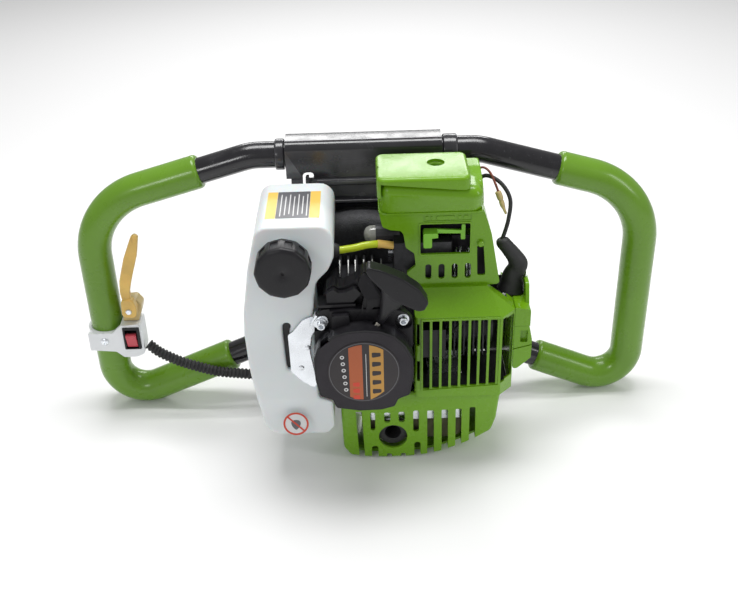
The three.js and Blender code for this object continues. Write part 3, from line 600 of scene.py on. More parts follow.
def loop_line(side):
    """Centreline of one handle loop, from the saddle round to the gearbox."""
    top_tan, low_tan = math.tan(math.radians(16)), math.tan(math.radians(23))
    corners = [
        (2, TOP_Z, 0), (108, TOP_Z, 60), (LOOP_X, TOP_Z - (LOOP_X - 108) * top_tan, 75),
        (LOOP_X, LOW_AT[1] - (LOOP_X - LOW_AT[0]) * low_tan, 31),
        (82, LOW_AT[1] + (LOW_AT[0] - 82) * low_tan, 0),
    ]
    line = []
    for i, (x, z, radius) in enumerate(corners):
        if not radius:
            line.append(Vector((x, z)))
            continue
        corner = Vector((x, z))
        back = (Vector(corners[i - 1][:2]) - corner).normalized()
        ahead = (Vector(corners[i + 1][:2]) - corner).normalized()
        half = back.angle(ahead) / 2
        middle = corner + (back + ahead).normalized() * (radius / math.sin(half))
        start = corner + back * (radius / math.tan(half)) - middle
        end = corner + ahead * (radius / math.tan(half)) - middle
        for k in range(25):
            line.append(middle + Matrix.Rotation(-start.angle_signed(end) * k / 24, 2) @ start)
    dense = []
    for a, b in zip(line, line[1:]):
        cuts = max(1, round((b - a).length / 4))
        dense += [a.lerp(b, k / cuts) for k in range(cuts)]
    dense.append(line[-1])
    return [Vector((side * p.x, 0, p.y)) for p in dense]


def add_loop(name, side, grip_top, grip_low):
    line = loop_line(side)
    tube = sweep(f"loop_tube_{name}", line, 12.7, 40)
    piece(smooth(tube), BLACK, replaces=[f"handle_loop_{name}"])
    first = next(i for i, p in enumerate(line) if abs(p.x) > grip_top)
    last = max(i for i, p in enumerate(line) if abs(p.x) > grip_low)
    path = line[first:last + 1]
    run, at = measured(path)
    lip = 4.0
    ends = [lip * k / 6 for k in range(6)]
    stations, radii = [], []

    def lip_radius(distance):
        t = min(distance / lip, 1)
        return 12.9 + 3.6 * math.sqrt(max(0.0, 1 - (1 - t) ** 2))

    middle = [r for r in run if lip < r < run[-1] - lip]
    for distance in ends + [lip] + middle + [run[-1] - e for e in [lip] + ends[::-1]]:
        stations.append(at(distance))
        radii.append(lip_radius(min(distance, run[-1] - distance)))
    grip = sweep(f"grip_sleeve_{name}", stations, radii, 48)
    piece(smooth(grip, 60), GRIP_GREEN, replaces=[f"grip_{name}"])


def add_frame():
    add_loop("left", -1, 156, 141)
    add_loop("right", 1, 181, 172)
    for side, (inner, outer) in {"left": (-85, -75.5), "right": (73.6, 88)}.items():
        radii = [13, 14.6, 14.9, 14.9, 14.6, 13]
        xs = [inner, inner + 0.8, inner + 2, outer - 2, outer - 0.8, outer]
        collar = sweep(f"tube_collar_{side}", [(x, 0, TOP_Z) for x in xs], radii, 40)
        piece(smooth(collar, 60), BLACK)

    inner, outer = 13.0, 16.4

    def arc(radius, start, end):
        return [(radius * math.cos(a), TOP_Z + radius * math.sin(a))
                for a in (math.radians(start + (end - start) * k / 16) for k in range(17))]

    hook = rounded([(-outer, 146), (-outer, 181, 8), (outer, 181, 8), (outer, 154), (inner, 154)], 0, 8)
    hook += [Vector(p) for p in arc(inner, 0, 180)] + [Vector((-inner, 146))]
    saddle = prism("saddle_sheet", hook, "X", -74.5, 72.6)
    slot = rounded([(-59, 134), (-56.5, 134), (-56.5, 148.5, 2), (-53, 148.5), (-53, 145.5),
                    (-48.6, 145.5, 2), (-48.6, 152, 4), (-59, 152, 4)], 0.5)
    carve(saddle, prism("cut", slot, "Y", -30, -12.9))
    piece(bevel(saddle, 0.8), BLACK, replaces=["saddle_plate"])

    half = [(70, 145.6), (70, 60, 12), (80, -20, 8), (112, -26, 8), (108, -62, 8), (60, -72, 12)]
    outline = half + [(-p[0], *p[1:]) for p in half][::-1]
    plate = prism("engine_plate", rounded(outline), "Y", -17.8, -13.2)
    shelf = rounded([(-17, 118), (-17, 128), (-25, 126, 1), (-25, 123.5, 1), (-20, 120)], 0.5)
    step = rounded([(-17, 138), (-17, 145.4), (-20.5, 145.4, 1), (-20.5, 140, 1)], 0.5)
    join(plate, prism("shelf", shelf, "X", -66, 68), prism("step", step, "X", -46, 68))
    carve(plate, prism("hole", circle(CRANK_X, CRANK_Z, 24), "Y", -20, -10),
          prism("cut", slot, "Y", -30, -12))
    piece(bevel(plate, 0.7), BLACK, replaces=["mounting_plate"])


# ---- tank ----

def add_tank():
    side = [
        (-96, 148, 12), (-29, 148, 14), (-29.5, 118, 6), (-35, 106, 10), (-46.5, 94, 8), (-50, 64),
        (-50, -29, 5), (-37, -34, 4), (-36.5, -68, 6), (-43, -78, 8), (-94, -77, 10), (-103, -66, 8),
        (-112, 2), (-114, 42, 6), (-112.5, 66), (-106, 108),
    ]
    tank = prism("tank_shell", rounded(side), "Y", -128.3, -30)
    slope = [(-128.3, 62), (-121, 152), (-140, 152), (-140, 62)]
    foot = [(-128.3, -29), (-119, -82), (-140, -82), (-140, -29)]
    slot = rounded([(-71.5, 47, 1), (-71.5, 55, 3), (-78.6, 55, 3.5), (-79, 46), (-77.6, 4, 1), (-73, 4, 1),
                    (-73, 47, 1)], 0.5)
    carve(
        tank,
        prism("slope", slope, "X", -130, 0),
        prism("foot", foot, "X", -130, 0),
        lathe("recess", (CRANK_X, CRANK_Z), [(99, -46), (99, -20)]),
        prism("slot", slot, "Y", -135, -116),
    )
    soften(tank, 1.5, 7)
    piece(tank, TANK, replaces=["fuel_tank"])
    # Painted shade: a thin dark sheet set inside the tank's slot, standing in for the shade in the slot.
    flat_outline = [(-71.2, 46.5), (-71.2, 55.2), (-78, 55.2), (-78.4, 46), (-77, 3.2), (-72.5, 3.2),
             (-72.5, 46.5)]
    slot_shade = prism("slot_shade_sheet", rounded([(x - 0.6, z + 0.6) for x, z in flat_outline], 1), "Y", -124.5, -119)
    piece(bevel(slot_shade, 0.5), RUBBER)

    cap_at = (-73, 117.5)
    neck = lathe("filler_neck", cap_at, [(17, -137), (19.6, -137), (20, -136.4), (20, -120), (17, -120),
                                         (17, -137)])
    piece(smooth(neck), TANK)

    def facet(radius, angle):
        """Twelve flats, with hardly any corner between them."""
        if radius < 21:
            return radius
        lean = (angle % (math.pi / 6)) - math.pi / 12
        return radius * (1 - 0.7 * (1 - math.cos(math.pi / 12) / math.cos(lean)))

    cap = lathe("cap_shell", cap_at, [
        (0.8, -148.4), (1.2, -149.3), (2.2, -149.9), (10, -150.1), (19, -150), (22, -149.8),
        (23.6, -149.1), (24.4, -147.8), (24.7, -145.5), (24.7, -131), (24.4, -129.8), (21.5, -129.5),
        (21.5, -145), (0.8, -145),
    ], 144, facet)
    recesses = []
    for i in range(12):
        angle = math.pi * (i + 0.5) / 6
        notch = rectangle(-3.4, -144.5, 3.4, -133.5, 1, 3)
        cut = prism("notch", notch, "Z", 23.1, 27)
        recesses.append(turned(cut, Matrix.Rotation(angle, 4, "Y"), (cap_at[0], 0, cap_at[1])))
    carve(cap, *recesses)
    piece(bevel(cap, 0.35, 2, 40), SATIN_BLACK, "fuel_cap", ["fuel_cap"])

    label = [("label_band_left", YELLOW, -89, -80, 0.15), ("label_panel", GREY, -79.8, -50.4, 0.17),
             ("label_band_right", YELLOW, -50.2, -41, 0.15)]
    for name, paint, x0, x1, thick in label:
        part = prism(name, rectangle(x0, -104, x1, -50, 0.6, 2), "Z", 147.9, 148.0 + thick)
        piece(part, paint)
    for i in range(7):
        x = -76.5 + 3.9 * i
        part = prism(f"label_line_{i}", rectangle(x, -100 + (i % 3) * 2, x + 0.9, -56 - (i % 2) * 4), "Z",
                     148.1, 148.25)
        piece(part, PALE)

    ring_at = (-72.8, -55.2)
    lean = Matrix.Rotation(math.atan2(9.3, 53), 4, "X")

    def lean_back(part):
        pivot = place(0, -128.3, -29)
        part.data.transform(Matrix.Translation(pivot) @ lean.inverted() @ Matrix.Translation(-pivot))
        return part

    disc = lathe("round_label", ring_at, [(0.5, -128.45), (12, -128.45), (12, -128.3), (0.5, -128.3)])
    piece(lean_back(disc), PALE)
    ring = lathe("round_label_ring", ring_at, [
        (10.2, -128.6), (12, -128.6), (12, -128.4), (10.2, -128.4), (10.2, -128.6)])
    piece(lean_back(ring), WARNING_RED)
    drop = [Vector((ring_at[0] + 4.2 * math.sin(a) * (1 - 0.45 * math.cos(a)),
                    ring_at[1] - 1 - 5.2 * math.cos(a)))
            for a in (2 * math.pi * i / 32 for i in range(32))]
    piece(lean_back(prism("round_label_drop", drop, "Y", -128.6, -128.4)), GREY)
    bar_shape = rectangle(-10.5, -0.8, 10.5, 0.8)
    bar_turn = Matrix.Rotation(math.radians(-45), 2)
    slash = prism("round_label_bar", [bar_turn @ p + Vector(ring_at) for p in bar_shape], "Y",
                  -128.75, -128.5)
    piece(lean_back(slash), WARNING_RED)

    wing = [
        (-45.4, 65, 4), (-36.5, 65, 4), (-36.5, 54, 4), (-45.9, 52.5, 6), (-53, 43, 12), (-55.5, 26, 20),
        (-52.5, 5, 20), (-50.3, -17, 3), (-63, -8, 6), (-73.6, 4, 4), (-74.2, 44, 3), (-69, 48, 4),
        (-60, 59.5, 10),
    ]
    plate = prism("tank_strap", rounded(wing), "Y", -130.8, -129.2)
    tongue = prism("tongue", rounded([(-52, 58, 4), (-46, 67.5, 8), (-38, 68.5, 5), (-36.4, 60, 4),
                                      (-43, 54, 4)]),
                   "Y", -138.4, -137.1)
    riser = prism("riser", rounded([(-54, 56.5), (-52.6, 58.4), (-46, 67.4), (-48, 69)], 0.3), "Y",
                  -138, -129.4)
    join(plate, tongue, riser)
    piece(bevel(plate, 0.4), ZINC, replaces=["tank_bracket"])
    for i, at in enumerate([(-57, 30), (-64, 8)]):
        dimple = lathe(f"strap_rivet_{i}", at, [(0.3, -131.9), (1.8, -131.7), (2.6, -131.2),
            (2.8, -130.6), (0.3, -130.6)], 24)
        piece(smooth(dimple), ZINC)

    hose_z = 111.5
    grommet = sweep("hose_grommet", [(-34, -97, hose_z), (-29, -97, hose_z), (-27.5, -97, hose_z),
                                     (-25, -97, hose_z)],
                    [6, 6.6, 6.2, 4.6], 32)
    piece(smooth(grommet, 50), RUBBER, replaces=["tank_grommet"])
    route = [(-30, -97, hose_z), (-24, -96.6, hose_z - 0.2), (-12, -92, 110.5), (0, -89, 111.5),
             (12, -87, 111),
             (23.4, -85, 108)]
    path = smooth_path(route, 8)
    piece(smooth(sweep("fuel_line", path, 3.4, 24), 60), HOSE, replaces=["fuel_hose"])
    tip = path[-11:]
    piece(smooth(sweep("fuel_line_end", tip, [3.8, 3.9, 3.7] + [3.65] * (len(tip) - 3), 24), 60), TAN)


# ---- starter ----

def add_starter():
    face = [
        (-33, 58.8, 12), (-20, 63.1, 20), (-4.8, 64.2, 30), (9, 62.6, 20), (21, 57.5, 12), (31, 47, 12),
        (37.6, 33, 14), (38, 15, 14), (34.4, -6, 4), (24, -10.5, 3), (20.5, -18.5, 3), (8.6, -22, 14),
        (-11.2, -22.5, 14), (-32.5, -18.5, 4), (-35.4, -9.6, 3), (-46.6, -4.6, 4), (-50, 13, 14),
        (-50.3, 36.5, 14), (-46, 48, 10),
    ]

    def shrunk(share, shift=0.0):
        return rounded([(p[0] * share + shift, (p[1] - 20) * share + 20, *p[2:]) for p in face], 0, 6)

    cover = prism("cover_bowl", rounded(face, 0, 6), "Y", -157.9, -131)
    shoulder = [(-49, 30, 6), (-49.5, 66, 8), (-42, 73.5, 8), (-16, 75.5, 4), (20, 74.5, 4), (31, 71, 8),
                (38, 62, 8),
                (38, 30, 6)]
    column = rounded([(-34, 52), (-33, 72, 2), (-18, 72.5, 2), (-17.5, 56)], 1)
    join(cover, prism("shoulder", rounded(shoulder), "Y", -141, -131),
         prism("column", column, "Y", -146, -135))
    carve(cover, prism("room", shrunk(0.93, -0.4), "Y", -154, -130),
          prism("left_well", rectangle(-60, 54, -35, 80, 4), "Y", -150, -137),
          prism("right_well", rectangle(22.5, 54, 37.5, 69.5, 5), "Y", -150, -137),
          prism("left_channel", rectangle(-44, 36, -36, 56, 3), "Y", -160, -151),
          sweep("mouth", [(2.5, -143.2, 50), (11, -147.2, 74)], 4.4, 24))
    piece(bevel(cover, 1.4, 3, 32), SATIN_BLACK, replaces=["starter_cover"])
    skin = prism("cover_face", shrunk(0.958, -0.25), "Y", -158.15, -157.3)
    piece(bevel(skin, 0.3, 2), FACE_BLACK)

    at = (-6.4, 20.4)
    badge = lathe("badge_disc", at, [(0.5, -158.8), (31.6, -158.8), (32.2, -158.6), (32.2, -158.1),
                                     (0.5, -158.1)], 96)
    piece(badge, DARK_PRINT, replaces=["starter_badge"])
    rim = lathe("badge_rim", at, [
        (30.6, -158.95), (31.2, -158.95), (31.2, -158.7), (30.6, -158.7), (30.6, -158.95)], 96)
    piece(rim, GREY)

    def band(name, x0, x1, paint, low_cut, low=-30.4):
        points = []
        for k in range(9):
            x = x0 + (x1 - x0) * k / 8
            points.append(Vector((x, at[1] + math.sqrt(30.2 ** 2 - (x - at[0]) ** 2) - 1)))
        for k in range(9):
            x = x1 + (x0 - x1) * k / 8
            slant = low_cut * (x - x0) / (x1 - x0)
            points.append(Vector((x, at[1] + low - 1 + slant + 0.02 * (x - at[0]) ** 2)))
        piece(prism(name, points, "Y", -158.98, -158.75), paint)

    band("badge_band_orange", -19.6, -7.6, ORANGE, 0, -28.6)
    band("badge_band_gold", -1.2, 11.2, GOLD, 3, -29.4)
    for i in range(5):
        z = 41.5 - 9.8 * i
        shape = rounded([(1, z - 5.6), (8.8, z - 4.2), (8.8, z - 0.6), (1, z)], 1.1, 3)
        piece(prism(f"badge_mark_{i}", shape, "Y", -159.1, -158.95), DARK_PRINT)
    for i in range(3):
        z = 10 - 7 * i
        shape = rounded([(-16.6, z - 4.2), (-10.6, z - 5), (-10.6, z), (-16.6, z - 0.6)], 0.9, 3)
        piece(prism(f"badge_tick_{i}", shape, "Y", -159.1, -158.95), WARNING_RED)
    piece(prism("badge_rule", rectangle(-4.6, -6, -4.1, 40), "Y", -158.95, -158.8), PALE)
    for i in range(6):
        z = 37 - 7 * i
        ring = lathe(f"badge_dot_{i}", (-25.4 + 0.5 * i, z), [
            (1.0, -158.95), (1.9, -158.95), (1.9, -158.75), (1.0, -158.75), (1.0, -158.95)], 24)
        piece(ring, PALE)

    guide = [
        (-45, -16, 3), (-44, 62, 2), (-38, 80, 3), (-37.5, 90, 3), (-31, 94.6, 3), (-27.3, 91, 3),
        (-22, 91.6, 4), (-12, 96.5, 4), (-7.2, 103.5, 2), (-3.4, 107, 2), (2, 104, 3), (14, 92, 3),
        (36, 68, 4), (38, -14, 3), (20, -26, 4), (-30, -26, 4),
    ]
    body = prism("rope_guide_case", rounded(guide), "Y", -129.4, -112)
    hump = rounded([(-37.4, 78), (-37.2, 89, 3), (-30.8, 93, 3), (-26.5, 88.6, 4), (-21, 89.4, 4),
                    (-11.5, 94, 3),
                    (-7, 88), (-15, 78)], 0.6)
    ridge = rounded([(-15.8, 58), (-7, 74), (-4.4, 87.5), (-9.4, 97, 2), (-6.6, 104, 2), (-3.2, 106, 2),
                     (1.5, 101.5, 2),
                     (9, 88), (14, 78), (4, 77.5), (-3, 70), (-6, 62)], 0.6)
    right = rounded([(0, 60), (3, 77), (14, 80, 2), (24, 77.5, 2), (29, 74), (24, 62)], 1)
    join(body, prism("hump", hump, "Y", -135.5, -120), prism("ridge", ridge, "Y", -141.4, -120),
         prism("right_wing", right, "Y", -138, -120),
         prism("ledge", rounded([(-46, 75.8), (-45, 78.4), (-12, 78.8), (-12, 75.8)], 0.8), "Y", -137.5,
               -120))
    slope = plane_through((-40, -139, 88), (10, -139, 90), (-20, -131, 106))
    carve(body, half_space(*slope),
          prism("cleft", rounded([(-4.4, 87), (-6.2, 64), (-3.6, 64), (-1.6, 86)], 0.6), "Y", -150, -139.4))
    carve(body, prism("bore", circle(CRANK_X, CRANK_Z, 38), "Y", -130, -105))
    piece(bevel(body, 1.6, 3, 28), SATIN_BLACK, replaces=["starter_housing"])

    wing = [
        (-2.4, 127, 3), (0.5, 130.6, 2), (11.4, 127.2, 10), (29.4, 118.4, 20), (43.5, 107.2, 14),
        (50.6, 94.6, 3), (47, 87.4, 4), (41.6, 86.6, 4), (29.2, 93, 14), (20, 98.8, 12), (11, 108.6, 12),
        (1.8, 119.4, 6),
    ]
    handle = prism("pull_grip", rounded(wing, 0, 6), "Y", -166.4, -152.4)
    eyelet, rope_end = Vector((8, -146, 64)), Vector((26.8, -159, 100.4))
    pull = (rope_end - eyelet).normalized()
    across = Vector((0.87, 0, -0.47))
    rings = []
    for k in range(13):
        t = k / 12
        centre = eyelet + pull * (2 + 42 * t) - across * (4 * t)
        wide, deep = 3.6 + 11.5 * t ** 1.6, 3.6 + 2.2 * t
        rings.append([(centre + across * (wide * math.cos(a)) + pull.cross(across) * (deep * math.sin(a)))
                      for a in (2 * math.pi * i / 32 for i in range(32))])
    join(handle, loft("stem", rings))
    carve(handle, sweep("rope_hole", [eyelet, rope_end], 2.4, 20))
    soften(handle, 0.7, 3)
    piece(handle, SATIN_BLACK, "pull_handle", ["starter_handle"])

    count = 260
    start, end = eyelet - pull * 6, rope_end - pull * 2.5
    path, radii = [], []
    for k in range(count + 1):
        path.append(start.lerp(end, k / count))
        radii.append(1.8 + 0.16 * math.cos(2 * math.pi * k * 12 / count))
    rope = smooth(sweep("pull_rope", path, radii, 16), 60)
    rope.data.materials.append(ROPE)
    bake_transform(rope)
    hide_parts("starter_rope")

    for name, ear, front in (("left", (-43, 60.5), -138.4), ("right", (29.8, 62.2), -137)):
        head = lathe(f"socket_screw_{name}", ear, [
            (0.3, front - 3.4), (2.1, front - 3.4), (2.3, front - 6.4), (3.2, front - 6.5),
            (3.8, front - 6), (3.9, front - 1.5), (4.6, front - 1.4), (5.3, front - 1.2),
            (5.5, front - 0.6), (5.5, front + 0.1),
            (0.3, front + 0.1)], 48)
        carve(head, prism("hex", circle(*ear, 2.3, 6), "Y", front - 9, front - 2.6))
        piece(smooth(head), ZINC, replaces=[f"starter_screw_{name}"])


# ---- air box and carburettor ----

def add_air_box():
    outer = [
        (11.3, 144.8), (13.8, 132, 4), (21, 128.8, 4), (30, 127.7, 3), (32.5, 124), (34.4, 110.7, 4),
        (42, 104.7, 3), (43.4, 92, 3), (34.7, 84.2, 2), (41.8, 74.5), (50, 66.2, 3), (120.5, 70.6, 3),
        (111.5, 121.6), (104.4, 144.8),
    ]
    inner = [
        (14.5, 142.5), (17, 134, 3), (22, 131.5, 3), (33, 130.4), (35.4, 124), (37, 112), (45, 106),
        (46.4, 91), (38.5, 84), (44, 76), (52, 58), (119, 58), (108.6, 121), (101.8, 142.5),
    ]
    base = prism("filter_case", rounded(outer), "Y", -95.2, -42)
    cutters = [prism("room", rounded(inner), "Y", -92.6, -44.5), box("bay", (18, -91.5, 60), (47, -40, 122)),
               prism("window", rectangle(47.4, 103.3, 92.2, 133.8, 1.5), "Y", -99, -90)]
    for i in range(4):
        x = 52 + 12 * i
        cutters.append(prism("slot", rectangle(x, 77.5, x + 5.6, 93, 2.6), "Y", -99, -90))
    slot = rounded([(98.5, 111, 2), (104.5, 111, 2), (107, 80, 2), (99.5, 80, 2)], 1)
    cutters += [prism("side_slot", slot, "Y", -99, -90),
                prism("panel", rectangle(50, 136.4, 93, 142.4, 1), "Y", -99, -94.5)]
    carve(base, *cutters)
    piece(bevel(base, 0.7, 3), GREEN, replaces=["airbox_base"])
    frame_edge = prism("window_rim", rectangle(46.2, 102, 93.4, 135.2, 2), "Y", -95.9, -95)
    carve(frame_edge, prism("cut", rectangle(47.6, 103.5, 92, 133.6, 1.4), "Y", -99, -90))
    piece(bevel(frame_edge, 0.3, 2), GREEN)
    marks = [(52, 55), (57, 58.5), (62, 78), (81, 84), (86, 90)]
    for i, (x0, x1) in enumerate(marks):
        mark = prism(f"choke_mark_{i}", rectangle(x0, 137.6, x1, 141.2, 0.6, 2), "Y", -95.1, -94.3)
        piece(bevel(mark, 0.25, 2), GREEN)
    lip = prism("seam_lip", rounded([(10.6, -98.6, 8), (104.2, -98.6, 6), (104.6, -41), (10.6, -41)]),
                "Z", 144.9, 146.7)
    piece(bevel(lip, 0.5), GREEN)

    def cover_top(x):
        return 176.4 - 6 * min(max((x - 15) / 66, 0), 1)

    cover = pillow("filter_cover", 11.6, -97.6, 102.8, -41, 9.5, 146, cover_top, 9, lean=6)
    side = rounded([(-94, 150), (-92, 160, 8), (-82, 169, 10), (-60, 173, 8), (-41, 173.8, 3),
                    (-41, 150)], 1)
    tower = prism("tower", side, "X", 89, 103.6)
    bevel(tower, 3, 4, 50)
    apply_modifiers(tower)
    join(cover, tower)
    soften(cover, 1, 4)
    piece(cover, GREEN, replaces=["airbox_cover"])

    lid_top = 181.9
    lid = pillow("cover_lid", 9.6, -104.5, 91, -46, 7, 163, lambda x: lid_top, 3.2, 6)
    lower_edge = [(13.2, 150), (13.2, 176.9), (17, 176.7), (81, 170.4), (97, 169.4), (97, 150)]
    carve(lid, prism("under", rectangle(12.2, -102, 88.6, -40, 5), "Z", 160, 179.2),
          prism("hole", circle(62.6, -70, 7.9), "Z", 170, 190),
          prism("lower_edge", lower_edge, "Y", -112, -40),
          prism("notch", rounded([(0, -81), (9, -81, 2), (13, -76, 3), (9, -71, 2), (0, -71)]), "Z", 176,
                190))
    piece(bevel(lid, 0.5, 2, 40), GREEN, replaces=["airbox_top"])
    piece(smooth(lathe_z("lid_cup", (62.6, -70), [(8.2, 179), (8.2, 173.9), (1, 173.8)])), GREEN)

    dress("air_filter", FOAM)
    knob = prism("choke_slider", rounded([(50, 112.5, 1), (57.8, 112.5, 1), (57.8, 123), (84, 122),
                                          (84, 116, 1), (88, 116, 1), (88, 131, 1), (84.6, 131, 1),
                                          (84.6, 125), (62, 126.8, 1),
                                          (50, 127, 2)], 0.3), "Y", -92.2, -89.6)
    block = prism("grip", rounded([(50, 112.6, 1.5), (57.6, 112.6, 1.5), (57.6, 122), (63, 122.5),
                                   (63, 127, 1.5), (50, 127, 2)]), "Y", -101, -91)
    join(knob, block)
    carve(knob, prism("arch", circle(74, 114, 7, 32), "Y", -99, -85))
    piece(bevel(knob, 0.6, 3), CHOKE_GREEN, "choke_lever", ["choke_lever"])

    # Painted shade: dark sheets behind the window and the slots stand in for the shade inside the air box.
    for name, low, high in (("window_shade_backing", (47, -64, 112.4), (104, -62.4, 141)),
                            ("slot_shade_backing", (77, -76, 54), (113, -74.4, 112))):
        piece(bevel(box(name, low, high), 0.4, 2), FACE_BLACK)
    for i, (x, y) in enumerate(((79.4, -84), (83.4, -82), (90.6, -84), (94, -81))):
        rod = sweep(f"choke_rod_{i}", [(x, y, 74), (x, y, 90), (x + 1.6, y, 104)], [1.3, 1.5, 1.2], 16)
        piece(smooth(rod, 60), ZINC)
    stud = lathe("side_stud", (101.6, 113.4), [(0.3, -98.6), (2.2, -98.4), (3, -97.6), (3.2, -94),
        (0.3, -94)], 32)
    piece(smooth(stud), GREEN)

    dress("intake_block", SATIN_BLACK)
    dress("carburettor", DARK_CAST, 0.8)
    dress("throttle_arm", ZINC)
    bulb = []
    for k in range(9):
        angle = math.pi / 2 * k / 8
        bulb.append((-3.2 + 7 * (1 - math.cos(angle)), 8.6 * math.sin(angle)))
    path = [(x, -62, 108) for x, _ in bulb] + [(5, -62, 108), (12.9, -62, 108)]
    radii = [max(r, 0.3) for _, r in bulb] + [8.6, 8.6]
    piece(smooth(sweep("primer_dome", path, radii, 40), 60), BULB, "primer_bulb",
          ["primer_bulb"])
    collar = sweep("primer_collar", [(8.4, -62, 108), (8.8, -62, 108), (10.6, -62, 108), (11, -62, 108)],
                   [9.6, 10.2, 10.2, 9.8], 40)
    carve(collar, sweep("bore", [(0, -62, 108), (20, -62, 108)], 9.2, 40))
    piece(smooth(collar), SATIN_BLACK)


# ---- cowl, exhaust ----

def add_cowl():
    def shell(name, inset, low):
        plan = rounded([(41 + inset, -120 + inset, 3), (121.5 - inset * 0.4, -120 + inset),
                        (134 - inset, -107),
                        (134 - inset, -45 + 2 * inset), (41 + inset, -45 + 2 * inset)], 0)
        made = prism(name, plan, "Z", low, 71 - inset)
        top = plane_through((41, -120, 51), (100, -120, 51), (60, -99.5, 71))
        corner = plane_through((111, -99.5, 71), (121.5, -120, 49.5), (134, -107, 50))
        right = plane_through((117, -100, 64), (134, -107, 50), (134, -52, 50))
        shift = Vector((0, 0, -inset * 1.2))
        carve(made, *(half_space(point + shift, normal) for point, normal in (top, corner, right)))
        return made

    cowl = shell("engine_cowl", 0, -37.5)
    cutters = [shell("room", 2.4, -60), box("top_bay", (47, -93.5, 50), (128, -40, 90)),
               box("plug_bay", (112, -86, 26), (140, -52, 90)),
               box("left_bay", (38, -101, -14), (45, -40, 90))]
    pitch, gap = 8.86, 6.5
    for i in range(9):
        x = 48.2 + pitch * i
        cutters.append(prism("grille", rectangle(x, -28 + 0.5 * i, x + gap, 47.2, 0.8, 2), "Y", -125, -112))
    cutters.append(prism("notch_high", rectangle(42.4, 21, 45.4, 44.5), "Y", -125, -112))
    cutters.append(prism("notch_low", rectangle(42.8, -18.5, 45.6, 4), "Y", -125, -112))
    carve(cowl, *cutters)
    side = prism("side_window", rectangle(123.4, -22, 133, 46), "Y", -130, -100)
    carve(cowl, side)
    piece(bevel(cowl, 0.8, 3, 30), GREEN, replaces=["cylinder_cowl"])
    frame_bar = prism("grille_frame", rounded([(46.6, -31, 1), (46.6, 49.6, 1), (121.4, 50.2, 1),
        (121.4, -27, 1)]), "Y", -121, -119.6)
    carve(frame_bar, prism("cut", rounded([(48.4, -29), (48.4, 47.6), (119, 48), (119, -25)]), "Y", -125,
                           -110))
    piece(bevel(frame_bar, 0.4, 2), GREEN)

    tiers = [
        [(134.4, 30.4), (134.4, 50.6, 1.5), (149.1, 48, 2), (149.1, 30.4)],
        [(134.4, 5), (134.4, 29.8), (148.6, 29.8, 1), (151.6, 15, 2), (151.6, 9.4)],
        [(134.4, -17, 2), (134.4, 4.4), (151.6, 8.8), (151.4, -5.2, 3), (138.8, -17, 3)],
    ]
    vent = None
    for i, tier in enumerate(tiers):
        part = prism("cowl_vent", rounded(tier), "Y", -106 + 0.7 * (i % 2), -52)
        if i == 1:
            carve(part, prism("pocket", rectangle(140.6, 12, 147.4, 25, 1), "Y", -112, -101.4),
                  prism("pocket", rectangle(-98, 12, -60, 25, 1), "X", 147.5, 160))
        vent = part if vent is None else join(vent, part)
    wall = prism("vent_wall", rounded([(-96, 44), (-88, 66, 4), (-54, 68, 4), (-52, 44)], 1), "X", 145.6,
                 149)
    join(vent, wall)
    carve(vent, prism("boot_bay", circle(134.8, -70, 14.4), "Z", 47, 90))
    piece(bevel(vent, 0.8, 3), GREEN, replaces=["cowl_side_vent"])

    # Painted shade: two dark sheets inside the cowl, under and behind the grille, stand in for the shade
    # seen through its openings.
    shade_floor = prism("cowl_floor_painted_shade", [
        (43.6, -117.4), (120, -117.4), (131.5, -105.8), (131.5, -46.4), (43.6, -46.4)], "Z", -36.8, -35.6)
    carve(shade_floor, box("flange_hole", (55.6, -84.4, -40), (88.4, -57.6, -30)))
    piece(bevel(shade_floor, 0.3, 2), CAST_BLACK)
    shade_back = box("cowl_back_painted_shade", (44.4, -43.8, -35), (131, -42.4, 50))
    piece(bevel(shade_back, 0.3, 2), CAST_BLACK)
    for i in range(7):
        x = 47 + 9 * i
        fin = prism(f"cooling_fin_{i}", rectangle(-98, -8, -44.4, 48, 4), "X", x + 4.8, x + 6.4)
        carve(fin, prism("core", circle(CYLINDER_Y, CRANK_Z, 24), "X", x, x + 9))
        piece(bevel(fin, 0.3, 2), DARK_CAST)


